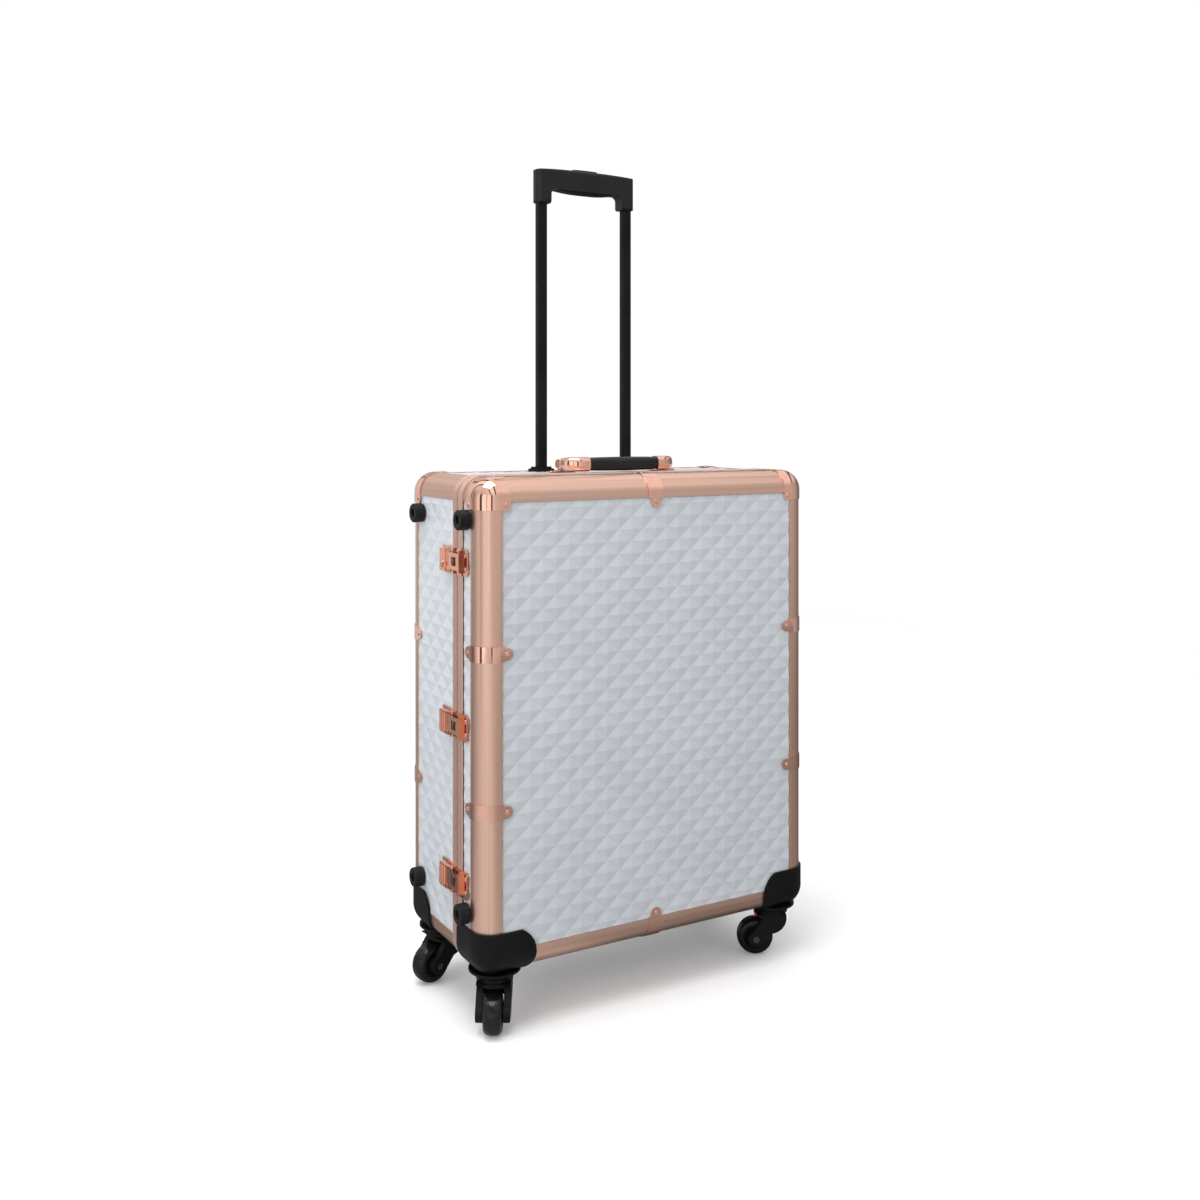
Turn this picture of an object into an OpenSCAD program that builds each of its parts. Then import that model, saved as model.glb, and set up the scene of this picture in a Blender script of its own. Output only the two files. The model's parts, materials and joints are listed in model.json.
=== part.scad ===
// Rolling hard case on four swivel casters, with a telescoping tow handle.
// Millimetres, +Z up, front towards -Y. The origin lies on the floor, under the middle of the case.

/* [Case body] */
// Width of the case over its rails
case_w = 536; // [500:2:580]
// Depth of the case over its rails
case_d = 248; // [240:2:280]
// Height of the case over its rails
case_h = 650; // [620:5:680]
// Depth of the front shell, from the front face to the split
lid_d = 71; // [68:1:78]
// Gap between the two closed shells
split_gap = 0.6; // [0.4:0.1:1.2]
// Distance from the floor to the underside of the case
ground_clearance = 79; // [76:1:90]

/* [Rails and panels] */
// Outer radius of the rounded edge rails
rail_r = 28; // [24:1:30]
// Flat lip of a rail beside its rounded part
rail_lip = 4; // [3:0.5:6]
// Wall of the rails
rail_wall = 1.6; // [1.2:0.1:2]
// Thickness of the panel boards
board_t = 4; // [3:0.5:5]
// Depth of the boards' outer face behind the rails' outer face
board_depth = 2.6; // [2.4:0.1:3]
// Thickness of the embossed skin in its valleys
skin_t = 0.8; // [0.5:0.1:1]
// Height of the embossed pyramids
relief = 1.4; // [0.8:0.1:1.4]
// Width of one embossed pyramid, between its side corners
diamond_w = 39.2; // [32:0.2:48]
// Height of one embossed pyramid, between its upper and lower corners
diamond_h = 33.4; // [26:0.2:42]
// Width of each strip beside the split
rim_w = 15; // [12:0.5:16]
// Height of the strips over the rails
rim_proud = 1.5; // [1:0.1:2]
// Half width of the groove between the two strips
groove_w = 0.9; // [0.5:0.1:1.2]
// Depth of the tongue that enters the front shell
tongue_l = 5; // [3:0.5:5.5]

/* [Corner fittings and bands] */
// Length of a corner cap along each rail, from the case's corner
cap_len = 42; // [38:1:48]
// Sheet thickness of the caps and bands
cap_t = 1.2; // [0.8:0.1:1.5]
// Width of a rail band
band_w = 21; // [16:1:26]
// Reach of a band's screw tab from the case's edge
band_reach = 46; // [42:1:50]
// Heights of the bands on the upright rails, over the case's underside
band_z = [214, 420];

/* [Rubber feet] */
// Diameter of a foot
foot_d = 27; // [20:1:27]
// Height of a foot
foot_h = 15; // [12:0.5:20]
// Diameter of the screw hollow in a foot
foot_hole_d = 12; // [8:1:14]
// Height of the lower feet over the case's underside
foot_low_z = 76; // [75:1:90]
// Distance of the upper feet under the case's top
foot_top_drop = 56; // [55:1:70]
// Distance of the rear feet from the back of the case
foot_back = 49; // [46:1:60]

/* [Latches and hinges] */
// Height of the lower latch and hinge over the case's underside
latch_low_z = 110; // [90:1:150]
// Distance of the middle latch and hinge under the middle of the case
latch_mid_drop = 7; // [0:1:40]
// Distance of the upper latch and hinge under the case's top
latch_top_drop = 113; // [100:1:130]
// Height of a latch, along the split
latch_h = 36; // [34:1:40]
// Length of the catch plate on the front shell
catch_l = 34; // [32:0.5:36]
// Length of the latch base on the rear shell
latch_l = 50; // [48:1:56]
// Sheet thickness of latches and hinge leaves
plate_t = 1.5; // [1.2:0.1:1.6]
// Thickness of a lever's side walls
lever_wall = 1.4; // [1.2:0.1:1.5]
// Radius of the latch pins
latch_pin_r = 1.25; // [1:0.05:1.3]
// Radius of the hinge pins
hinge_pin_r = 1.5; // [1.3:0.1:1.7]
// Outer radius of the hinge knuckles
knuckle_r = 3.3; // [3:0.1:3.4]

/* [Tow handle] */
// Distance of the tow tubes from the back of the case
tow_back = 43; // [40:1:48]
// Distance between the tow tubes' centres
tow_span = 148; // [140:1:160]
// Width of a tow tube
tube_w = 16; // [14:0.5:17]
// Depth of a tow tube
tube_d = 12; // [11:0.5:13]
// Edge radius of a tow tube
tube_r = 3; // [2:0.5:4]
// Wall of the tow tubes and their sleeves
tube_wall = 1.4; // [1.2:0.1:1.6]
// Length of a tow tube
tube_l = 524; // [500:2:540]
// Height of the grip's top over the case's top, with the handle drawn out
grip_top = 453; // [430:1:460]
// Height of the grip's end sockets
socket_h = 50; // [46:1:56]
// Width of the grip over its ends
grip_w = 170; // [166:1:190]
// Depth of the grip, front to back
grip_d = 22; // [20:1:26]
// Height of the grip's bar at its ends
grip_bar = 28; // [24:1:30]
// Rise of the grip's top in the middle
grip_arch = 3.5; // [2:0.5:5]
// Fall of the grip's underside in the middle
grip_belly = 5; // [3:0.5:6]
// Length of the release button
button_l = 44; // [36:1:50]
// Height of the button over the grip
button_proud = 2; // [1.5:0.1:3]

/* [Carry handle] */
// Distance of the carry handle's pins from the front of the case
carry_y = 120; // [112:1:126]
// Distance between the carry handle's brackets
carry_span = 172; // [160:2:190]
// Height of the pins over the case's top
carry_z = 12.6; // [12:0.2:16]
// Reach of the grip from the pins
carry_reach = 26; // [25:1:30]
// Length of the padded grip
carry_grip_l = 128; // [116:2:132]
// Thickness of the padded grip
carry_grip_t = 20; // [16:0.5:21]
// Width of the padded grip
carry_grip_w = 24; // [20:1:26]
// Radius of the carry handle's pins
carry_pin_r = 2; // [1.5:0.1:2.2]

/* [Casters] */
// Distance of a caster's stem from both sides of its corner
stem_in = 38; // [36:1:42]
// Height of a corner bracket over the case's underside
bracket_h = 60; // [54:1:62]
// Reach of a bracket along the rails
bracket_w = 80; // [72:1:90]
// Wall of a bracket over the rails
bracket_t = 3; // [2.5:0.1:4]
// Depth of a bracket's neck under the case
neck_h = 14; // [12:0.5:14]
// Radius of a bracket's neck
neck_r = 25; // [22:0.5:27]
// Radius of a wheel
wheel_r = 27; // [25:0.5:27.5]
// Width of a wheel
wheel_w = 26; // [22:0.5:26.4]
// Distance of the axle behind the stem
trail = 24; // [20:0.5:26]
// Width of a fork over its arms
fork_w = 46; // [43:0.5:50]
// Gap between a fork's arms
fork_gap = 28; // [27:0.5:29]
// Radius of an axle
axle_r = 3; // [2.5:0.1:3.4]
// Radius of a stem
stem_r = 5; // [4:0.5:6]
// Directions in which the casters trail: front left, front right, rear left, rear right
caster_turn = [240, 150, 195, 90];

/* [Inside] */
// Thickness of the lining
lining_t = 2.5; // [2:0.1:3]
// Width of the mirror in the front shell
mirror_w = 380; // [300:5:400]
// Height of the mirror in the front shell
mirror_h = 500; // [400:5:520]
// Thickness of the shelves
shelf_t = 5; // [3:0.5:6]
// Heights of the shelves over the case's underside
shelf_z = [224, 432];
// Depth of the box that covers the tow sleeves
cover_d = 47; // [46:1:52]
// Width of the box that covers the tow sleeves
cover_w = 190; // [184:2:200]

/* [Fits] */
// Clearance of turning pins
pin_fit = 0.05; // [0.02:0.01:0.09]
// Clearance of fixed pins and plugged parts
snug = 0.01; // [0.005:0.005:0.02]
// Gap under fittings that lie on rails
seat_gap = 0.1; // [0.05:0.05:0.15]
// Gap between pieces that pass or rest beside each other
part_gap = 0.3; // [0.2:0.05:0.4]
// Clearance of the sliding tubes in their sleeves
tube_fit = 0.4; // [0.3:0.05:0.5]

/* [Hidden] */
$fn = 64;

// Colours
rose_satin = "#dba793";
rose_polished = "#f0b79e";
skin_white = "#cdd3db";
board_brown = "#8a7460";
plastic_black = "#1c1c1d";
rubber_black = "#151515";
tube_black = "#242426";
lining_black = "#2a2a2e";
steel_grey = "#b8b8bc";
mirror_blue = "#c6d6de";
brake_red = "#b5202a";

// Places that the pieces share
bottom_z = ground_clearance;
top_z = bottom_z + case_h;
mid_z = bottom_z + case_h / 2;
left_x = -case_w / 2;
right_x = case_w / 2;
front_y = -case_d / 2;
back_y = case_d / 2;
split_y = front_y + lid_d;
lid_end_y = split_y - split_gap / 2;
base_end_y = split_y + split_gap / 2;
window = rail_r + rail_lip;
board_edge = rail_r - 6;
board_in = board_depth + board_t;
lining_out = max(board_in + 0.2, rail_r - (rail_r - rail_wall - part_gap) / sqrt(2));
lining_in = lining_out + lining_t;
web_l = 10;
strip_in_lid = split_y - rim_w;
strip_in_base = split_y + rim_w;
latch_z = [latch_low_z, case_h / 2 - latch_mid_drop, case_h - latch_top_drop];
skin_peak = board_depth - skin_t - relief;
turns = ["fl", "fr", "rl", "rr"];

// A rectangle with round corners, about its centre
module rounded_rect(w, h, r) {
    square([w - 2 * r, h], center = true);
    square([w, h - 2 * r], center = true);
    for (sx = [-1, 1], sy = [-1, 1])
        translate([sx * (w / 2 - r), sy * (h / 2 - r)]) circle(r);
}

// The case's front outline, taken in by depth from the rails' outer faces
module case_outline(depth) {
    translate([0, mid_z]) rounded_rect(case_w - 2 * depth, case_h - 2 * depth, max(rail_r - depth, 2));
}

// A flat shape in X and Z, raised from y0 to y1
module along_y(y0, y1) {
    translate([0, y1, 0]) rotate([90, 0, 0]) linear_extrude(y1 - y0) children();
}

// A flat shape in Y and Z, raised from x0 to x1
module along_x(x0, x1) {
    translate([x0, 0, 0]) rotate([90, 0, 90]) linear_extrude(x1 - x0) children();
}

// A frame that follows the case's outline between two depths
module outline_ring(outer, inner, y0, y1) {
    along_y(y0, y1) difference() {
        case_outline(outer);
        case_outline(inner);
    }
}

// Its children mirrored when wanted
module flipped(v, wanted) {
    if (wanted) mirror(v) children();
    else children();
}

// Moves to a corner of the case, with +X, +Y and +Z pointing into the case there
module at_corner(sx, sy, sz) {
    translate([sx * case_w / 2, sy * case_d / 2, sz > 0 ? top_z : bottom_z])
        flipped([1, 0, 0], sx > 0) flipped([0, 1, 0], sy > 0) flipped([0, 0, 1], sz > 0) children();
}

// Edge rails: the rounded part and two lips, in the corner of a square
module rail_section() {
    difference() {
        union() {
            intersection() {
                translate([rail_r, rail_r]) circle(rail_r);
                square(rail_r);
            }
            translate([0, rail_r]) square([rail_wall, rail_lip]);
            translate([rail_r, 0]) square([rail_lip, rail_wall]);
        }
        translate([rail_r, rail_r]) circle(rail_r - rail_wall);
    }
}

// Rails along the case's width, one above and one below, at the front or the back
module rails_across(sy) {
    for (sz = [-1, 1]) at_corner(-1, sy, sz)
        along_x(rail_r + part_gap, case_w - rail_r - part_gap) rail_section();
}

// Upright rails at the front or the back
module rails_upright(sy) {
    for (sx = [-1, 1]) at_corner(sx, sy, -1)
        translate([0, 0, rail_r + part_gap]) linear_extrude(case_h - 2 * rail_r - 2 * part_gap) rail_section();
}

// Rails along the case's depth, from the front or the back to the rim's web
module rails_deep(sy, length) {
    for (sx = [-1, 1], sz = [-1, 1]) at_corner(sx, sy, sz)
        along_y(rail_r + part_gap, length) rail_section();
}

// A ball-ended block that fills a case corner of radius r out to a distance
module corner_block(r, out) {
    translate([r, r, r]) {
        sphere(r);
        cylinder(h = out - r, r = r);
        rotate([-90, 0, 0]) cylinder(h = out - r, r = r);
        rotate([0, 90, 0]) cylinder(h = out - r, r = r);
    }
    translate([0, r, r]) cube([out, out - r, out - r]);
    translate([r, 0, r]) cube([out - r, out, out - r]);
    translate([r, r, 0]) cube([out - r, out - r, out]);
}

// A corner shell of thickness t that lies over the rails with a small gap
module corner_shell(t, out) {
    difference() {
        translate(-[1, 1, 1] * (t + seat_gap)) intersection() {
            corner_block(rail_r + t + seat_gap, out + t + seat_gap);
            cube(out + t + seat_gap);
        }
        translate(-[1, 1, 1] * seat_gap) corner_block(rail_r + seat_gap, out + seat_gap + 1);
    }
}

// A cap over an upper corner: three sleeves over the rails, each ending beside a screw tab
module corner_cap() {
    tab_r = 7.5;
    tab_at = window + 4;
    difference() {
        corner_shell(cap_t, cap_len);
        for (turn = [[window + 0.5, window + 0.5, -5], [window + 0.5, -5, window + 0.5], [-5, window + 0.5, window + 0.5]])
            translate(turn) cube(60);
    }
    along_y(-seat_gap - cap_t, -seat_gap) tab_shape(tab_at, tab_r);
    flipped([1, -1, 0], true) along_y(-seat_gap - cap_t, -seat_gap) tab_shape(tab_at, tab_r);
    flipped([0, 1, -1], true) along_y(-seat_gap - cap_t, -seat_gap) tab_shape(tab_at, tab_r);
}

// The round screw tab that stands into a panel's corner
module tab_shape(at, r) {
    difference() {
        translate([at, at]) circle(r);
        square(window - 1);
        translate([at, at]) circle(1.8);
    }
}

// A band round an upright rail, in the plane of its section
module band_section() {
    out = seat_gap + cap_t;
    difference() {
        union() {
            intersection() {
                translate([rail_r, rail_r]) circle(rail_r + out);
                translate([-out, -out]) square(rail_r + out);
            }
            translate([-out, rail_r]) square([cap_t, window + 1 - rail_r]);
            translate([rail_r, -out]) square([window + 1 - rail_r, cap_t]);
        }
        translate([rail_r, rail_r]) circle(rail_r + seat_gap);
    }
}

// A whole band of given width: the bent strip and a round-ended screw tab on each face
module rail_band(w) {
    tab_w = min(16, w - 4);
    tip = band_reach - tab_w / 2;
    translate([0, 0, -w / 2]) linear_extrude(w) band_section();
    for (m = [false, true]) flipped([1, -1, 0], m)
        along_y(-seat_gap - cap_t, -seat_gap) difference() {
            union() {
                translate([window, -tab_w / 2]) square([tip - window, tab_w]);
                translate([tip, 0]) circle(tab_w / 2);
            }
            translate([tip, 0]) circle(1.8);
        }
}

// Bands on the upright rails and in the middle of the top and bottom rails
module bands(sy) {
    for (sx = [-1, 1], z = band_z) at_corner(sx, sy, -1) translate([0, 0, z]) rail_band(band_w);
    for (sz = [-1, 1]) translate([0, sy * case_d / 2, sz > 0 ? top_z : bottom_z])
        flipped([0, 1, 0], sy > 0) flipped([0, 0, 1], sz > 0)
            rotate([0, 90, 0]) flipped([1, 0, 0], true) rail_band(band_w + 3);
}

// A sheet of w by h, embossed with four-sided pyramids that stand on their corners.
// Its flat back lies at z = 0, and four pyramids meet in its middle.
module quilted(w, h) {
    slant = atan2(diamond_h, diamond_w);
    pitch = diamond_w * sin(slant);
    teeth = 2 * ceil(norm([w, h]) / 2 / pitch + 1);
    intersection() {
        cube([w, h, skin_t + relief + 1]);
        translate([w / 2, h / 2, 0]) rotate([0, 0, slant]) toothed_slab(pitch, teeth);
        translate([w / 2, h / 2, 0]) rotate([0, 0, -slant]) toothed_slab(pitch, teeth);
    }
}

// A square slab around the origin with roof-shaped ridges along X, a valley over the origin
module toothed_slab(pitch, teeth) {
    side = pitch * teeth;
    translate([-side / 2, -side / 2, 0]) rotate([90, 0, 90]) linear_extrude(side) polygon(concat(
        [[0, -1]],
        [for (i = [0 : 2 * teeth]) [i * pitch / 2, i % 2 == 0 ? skin_t : skin_t + relief]],
        [[side, -1]]
    ));
}

// A flat board between two corners of its face, given as low and high points
module board(low, high) {
    translate(low) cube(high - low);
}

// Side boards of one shell, left, right, top and bottom, from y0 to y1
module side_boards(y0, y1, top_holes) {
    for (sx = [-1, 1]) flipped([1, 0, 0], sx > 0)
        board([left_x + board_depth, y0, bottom_z + board_edge], [left_x + board_in, y1, top_z - board_edge]);
    board([left_x + board_edge, y0, bottom_z + board_depth], [right_x - board_edge, y1, bottom_z + board_in]);
    difference() {
        board([left_x + board_edge, y0, top_z - board_in], [right_x - board_edge, y1, top_z - board_depth]);
        if (top_holes) for (sx = [-1, 1]) translate([sx * tow_span / 2, tow_row_y, top_z - board_in - 1])
            linear_extrude(board_t + 2) rounded_rect(sleeve_w + 2 * part_gap, sleeve_d + 2 * part_gap, tube_r + tube_wall);
    }
}

// Embossed skins on the sides of one shell
module side_skins(y0, y1, top_holes) {
    side_l = case_h - 2 * (window + part_gap);
    top_l = case_w - 2 * (window + part_gap);
    for (sx = [-1, 1]) flipped([1, 0, 0], sx > 0)
        translate([left_x + board_depth, y1, bottom_z + window + part_gap])
            rotate([90, 0, -90]) quilted(y1 - y0, side_l);
    translate([-top_l / 2, y1, bottom_z + board_depth]) rotate([180, 0, 0]) quilted(top_l, y1 - y0);
    difference() {
        translate([-top_l / 2, y0, top_z - board_depth]) quilted(top_l, y1 - y0);
        if (top_holes) for (sx = [-1, 1]) translate([sx * tow_span / 2, tow_row_y, top_z - board_depth - 1])
            linear_extrude(5) rounded_rect(plug_w + 2 * part_gap, plug_d + 2 * part_gap, plug_d / 2 - 1);
    }
}

// Front shell
module lid_panels() {
    color(board_brown) {
        board([left_x + board_edge, front_y + board_depth, bottom_z + board_edge],
              [right_x - board_edge, front_y + board_in, top_z - board_edge]);
        side_boards(front_y + board_edge, lid_end_y - web_l - part_gap, false);
    }
}

module lid_skins() {
    w = case_w - 2 * (window + part_gap);
    h = case_h - 2 * (window + part_gap);
    color(skin_white) {
        translate([-w / 2, front_y + board_depth, mid_z - h / 2]) rotate([90, 0, 0]) quilted(w, h);
        side_skins(front_y + window + part_gap, strip_in_lid - part_gap, false);
    }
}

module lid_rails() {
    color(rose_satin) {
        rails_across(-1);
        rails_upright(-1);
        rails_deep(-1, lid_d - split_gap / 2 - web_l - part_gap);
    }
}

module lid_rim() {
    color(rose_polished) difference() {
        union() {
            outline_ring(-rim_proud, -seat_gap, strip_in_lid, lid_end_y - web_l);
            outline_ring(-rim_proud, lining_in - 1, lid_end_y - web_l, lid_end_y - groove_w);
            outline_ring(-seat_gap, lining_in - 1, lid_end_y - groove_w, lid_end_y);
        }
        outline_ring(tongue_depth - part_gap, tongue_depth + rail_wall + part_gap, lid_end_y - tongue_l - 0.5, lid_end_y + 1);
    }
}

module lid_corner_caps() {
    color(rose_polished) for (sx = [-1, 1]) at_corner(sx, -1, 1) corner_cap();
}

module lid_rail_bands() {
    color(rose_polished) bands(-1);
}

module lid_lining() {
    color(lining_black) {
        outline_ring(lining_out, lining_in, front_y + lining_out, lid_end_y - web_l - part_gap);
        along_y(front_y + lining_out, front_y + lining_in) case_outline(lining_out + 1);
    }
}

// A thin mirror in a frame, on the front shell's lining
mirror_t = 3;
frame_wall = 7;
frame_t = 6;
mirror_y = front_y + lining_in + snug;

module lid_mirror() {
    color(mirror_blue) along_y(mirror_y, mirror_y + mirror_t)
        translate([0, mid_z]) square([mirror_w, mirror_h], center = true);
}

module lid_mirror_frame() {
    color(plastic_black) difference() {
        along_y(mirror_y, mirror_y + frame_t) translate([0, mid_z])
            rounded_rect(mirror_w + 2 * frame_wall, mirror_h + 2 * frame_wall, frame_wall);
        along_y(mirror_y - 1, mirror_y + mirror_t + part_gap) translate([0, mid_z])
            square([mirror_w + part_gap, mirror_h + part_gap], center = true);
        along_y(mirror_y - 1, mirror_y + frame_t + 1) translate([0, mid_z])
            rounded_rect(mirror_w - 8, mirror_h - 8, 4);
    }
}

// Rubber feet on the left face: a chamfered buffer with a screw hollow
module foot(y, z) {
    chamfer = 1.5;
    translate([left_x - seat_gap, y, z]) rotate([0, -90, 0]) rotate_extrude() polygon([
        [2.2, 0], [foot_d / 2 - chamfer / 2, 0], [foot_d / 2, chamfer],
        [foot_d / 2, foot_h - chamfer], [foot_d / 2 - chamfer, foot_h],
        [foot_hole_d / 2 + 1, foot_h], [foot_hole_d / 2, foot_h - 1],
        [foot_hole_d / 2, foot_h * 0.45], [2.2, foot_h * 0.45]
    ]);
}

foot_lid_y = strip_in_lid - foot_d / 2 - part_gap;
foot_base_y = back_y - foot_back;
foot_z = [bottom_z + foot_low_z, top_z - foot_top_drop];

module lid_feet() {
    color(rubber_black) for (z = foot_z) foot(foot_lid_y, z);
}

module base_feet() {
    color(rubber_black) for (z = foot_z) foot(foot_base_y, z);
}

// Caster brackets: a moulded shell over the corner with two lobes, and a neck that holds the stem
module caster_bracket(shell_depth) {
    strip_from = shell_depth - rim_w - part_gap;
    over_strips = rim_proud + seat_gap;
    difference() {
        union() {
            intersection() {
                corner_shell(bracket_t, bracket_w + 5);
                along_y(-10, shell_depth - split_gap) bracket_outline();
                along_x(-10, 2 * bracket_w) bracket_outline();
            }
            translate([stem_in, stem_in, 0]) rotate_extrude() bracket_neck();
        }
        translate([stem_in, stem_in, -neck_h - 1]) cylinder(h = neck_h + 3, r = stem_r + pin_fit);
        translate(-[1, 1, 1] * seat_gap) corner_block(rail_r + seat_gap, 2 * bracket_w);
        intersection() {
            translate(-[1, 1, 1] * over_strips) corner_block(rail_r + over_strips, 2 * bracket_w);
            translate([-5, strip_from, -5]) cube(2 * bracket_w);
        }
    }
}

// A bracket's outline on one face: a lobe beside the upright rail
module bracket_outline() {
    lobe = bracket_h - 25;
    translate([bracket_w - lobe, bracket_h - lobe]) circle(lobe);
    translate([-10, -10]) square([bracket_w - lobe + 10, bracket_h + 7]);
}

// Half section of the neck, with a hollow curve up to the bracket's underside
module bracket_neck() {
    curve = 10;
    difference() {
        translate([0, -neck_h]) square([neck_r + curve, neck_h - seat_gap]);
        translate([neck_r + curve, -bracket_t - curve]) circle(curve);
        translate([neck_r, -neck_h - 1]) square([curve + 1, neck_h - bracket_t - curve + 1]);
    }
}

stem_top = -seat_gap - 0.4;

module lid_caster_brackets() {
    color(plastic_black) for (sx = [-1, 1]) at_corner(sx, -1, -1) caster_bracket(lid_d);
}

module base_caster_brackets() {
    color(plastic_black) for (sx = [-1, 1]) at_corner(sx, 1, -1) caster_bracket(case_d - lid_d);
}

// Latches stand on the left face. In their section, +X points out of the case and Y runs with the case.
module on_left_face(z) {
    translate([left_x, 0, bottom_z + z]) mirror([1, 0, 0]) children();
}

module on_right_face(z) {
    translate([right_x, 0, bottom_z + z]) children();
}

// A plate that lies on the panel and steps up over the strip beside the split
module stepped_plate(y0, y1, strip_edge, h) {
    toward_split = strip_edge > y0 + 1 && strip_edge < split_y;
    low = seat_gap;
    high = rim_proud + seat_gap;
    translate([0, 0, -h / 2]) linear_extrude(h) {
        if (toward_split) {
            translate([low, y0]) square([plate_t, strip_edge - y0]);
            translate([low, strip_edge - plate_t - part_gap]) square([high - low + plate_t, plate_t]);
            translate([high, strip_edge - plate_t - part_gap]) square([plate_t, y1 - strip_edge + plate_t + part_gap]);
        } else {
            translate([high, y0]) square([plate_t, strip_edge - y0 + plate_t + part_gap]);
            translate([low, strip_edge + part_gap]) square([high - low + plate_t, plate_t]);
            translate([low, strip_edge + part_gap]) square([plate_t, y1 - strip_edge - part_gap]);
        }
    }
}

pin_out = 4.9;
pin_y = split_y + 9;
claw_pin_y = pin_y + 8;
claw_pin_out = pin_out + 0.3;
ridge_y = split_y - 15;
ridge_w = 2.5;
ridge_out = 6.1;
claw_low = ridge_out + 0.4;
claw_t = 1.4;
claw_w = 23;
lever_low = claw_low + claw_t + 0.4;
lever_t = 1.4;
lever_end = split_y + 42;
lever_start = pin_y + 12.5;
ear_t = 1.5;
ear_in = latch_h / 2 - 1 - ear_t;
lever_half = ear_in - 0.3;

module latch_catches() {
    color(rose_polished) for (z = latch_z) on_left_face(z) {
        difference() {
            stepped_plate(split_y - catch_l, lid_end_y - 1, strip_in_lid, latch_h);
            for (s = [-1, 1]) translate([-1, split_y - catch_l, s * latch_h / 2]) rotate([0, 90, 0]) cylinder(h = 6, r = 4);
            for (s = [-1, 1]) translate([-1, split_y - catch_l + 7.5, s * 9]) rotate([0, 90, 0]) cylinder(h = 6, r = 1.9);
        }
        translate([rim_proud + seat_gap + plate_t, ridge_y, -latch_h / 2 + 3])
            cube([ridge_out - rim_proud - seat_gap - plate_t, ridge_w, latch_h - 6]);
    }
}

module latch_bases() {
    color(rose_polished) for (z = latch_z) on_left_face(z) {
        difference() {
            stepped_plate(base_end_y + 1, split_y + latch_l, strip_in_base, latch_h);
            translate([-1, base_end_y, -ear_in]) cube([8, 20, 2 * ear_in]);
            for (s = [-1, 1]) translate([-1, split_y + latch_l - 4.5, s * 11]) rotate([0, 90, 0]) cylinder(h = 6, r = 1.9);
        }
        for (s = [-1, 1]) flipped([0, 0, 1], s < 0) translate([0, 0, ear_in]) linear_extrude(ear_t) difference() {
            union() {
                translate([rim_proud + seat_gap, pin_y - 4]) square([pin_out - rim_proud, 8]);
                translate([pin_out, pin_y]) circle(3.2);
            }
            translate([pin_out, pin_y]) circle(latch_pin_r + snug);
        }
    }
}

module latch_pins() {
    color(steel_grey) for (z = latch_z) on_left_face(z)
        translate([pin_out, pin_y, -ear_in - ear_t]) cylinder(h = 2 * (ear_in + ear_t), r = latch_pin_r);
}

// A lever: two side walls on the pin, a ribbed plate behind the claw's pivot and the claw's rivet
module latch_lever(keyed) {
    wall_out = lever_low + lever_t;
    difference() {
        union() {
            for (s = [-1, 1]) flipped([0, 0, 1], s < 0) translate([0, 0, lever_half - lever_wall]) linear_extrude(lever_wall) {
                translate([pin_out, pin_y]) circle(2.8);
                polygon([
                    [pin_out + 2.6, pin_y - 1], [pin_out - 2.6, pin_y + 1], [2.2, lever_start],
                    [2.2, lever_end - 8], [wall_out, lever_end - 2], [wall_out, lever_start]
                ]);
            }
            translate([lever_low, lever_start, -lever_half]) cube([lever_t, lever_end - lever_start, 2 * lever_half]);
            for (i = [0 : 2]) if (!keyed || i == 0)
                translate([wall_out, lever_start + 3 + i * 6, -lever_half + 2]) rib(2 * lever_half - 4);
            translate([claw_pin_out, claw_pin_y, -lever_half]) cylinder(h = 2 * lever_half, r = latch_pin_r);
            translate([lever_low - 3, lever_end - lever_t, -10]) cube([3 + lever_t, lever_t, 20]);
            if (keyed) translate([lever_low - 4, key_y, key_z]) rotate([0, 90, 0]) cylinder(h = 4 + lever_t + 1.2, r = key_r + 1.5);
        }
        translate([pin_out, pin_y, -lever_half - 1]) cylinder(h = 2 * lever_half + 2, r = latch_pin_r + pin_fit);
        if (keyed) translate([lever_low - 5, key_y, key_z]) rotate([0, 90, 0]) cylinder(h = 12, r = key_r + pin_fit);
    }
}

key_r = 3.6;
key_y = split_y + 34;
key_z = -6;

// A half-round rib that stands on a lever
module rib(length) {
    rib_r = 1.2;
    intersection() {
        cylinder(h = length, r = rib_r);
        translate([0, -rib_r, 0]) cube([rib_r, 2 * rib_r, length]);
    }
}

// A claw: an eye on the lever's rivet and a plate that reaches over the catch's ridge
module latch_claw() {
    eye_r = claw_low + claw_t - claw_pin_out;
    difference() {
        translate([0, 0, -claw_w / 2]) linear_extrude(claw_w) difference() {
            union() {
                translate([claw_pin_out, claw_pin_y]) circle(eye_r);
                translate([claw_low, ridge_y - 3]) square([claw_t, claw_pin_y - ridge_y + 3]);
            }
            translate([claw_pin_out, claw_pin_y]) circle(latch_pin_r + pin_fit);
        }
        translate([claw_low - 1, ridge_y + ridge_w + 4, -6]) cube([claw_t + 2, 14, 12]);
    }
}

module key_barrel() {
    on_left_face(latch_z[2]) difference() {
        translate([lever_low - 3.5, key_y, key_z]) rotate([0, 90, 0]) cylinder(h = 3.5 + lever_t + 1.6, r = key_r);
        translate([lever_low + lever_t, key_y - 0.6, key_z - 2.4]) cube([3, 1.2, 4.8]);
    }
}

module key_cylinder() {
    color(steel_grey) key_barrel();
}

// Hinges on the right face: a barrel on the split and a leaf on each shell
hinge_out = rim_proud + seat_gap + knuckle_r + 0.2;
knuckle_gap = 0.1;
mid_knuckle = latch_h / 3;

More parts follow.
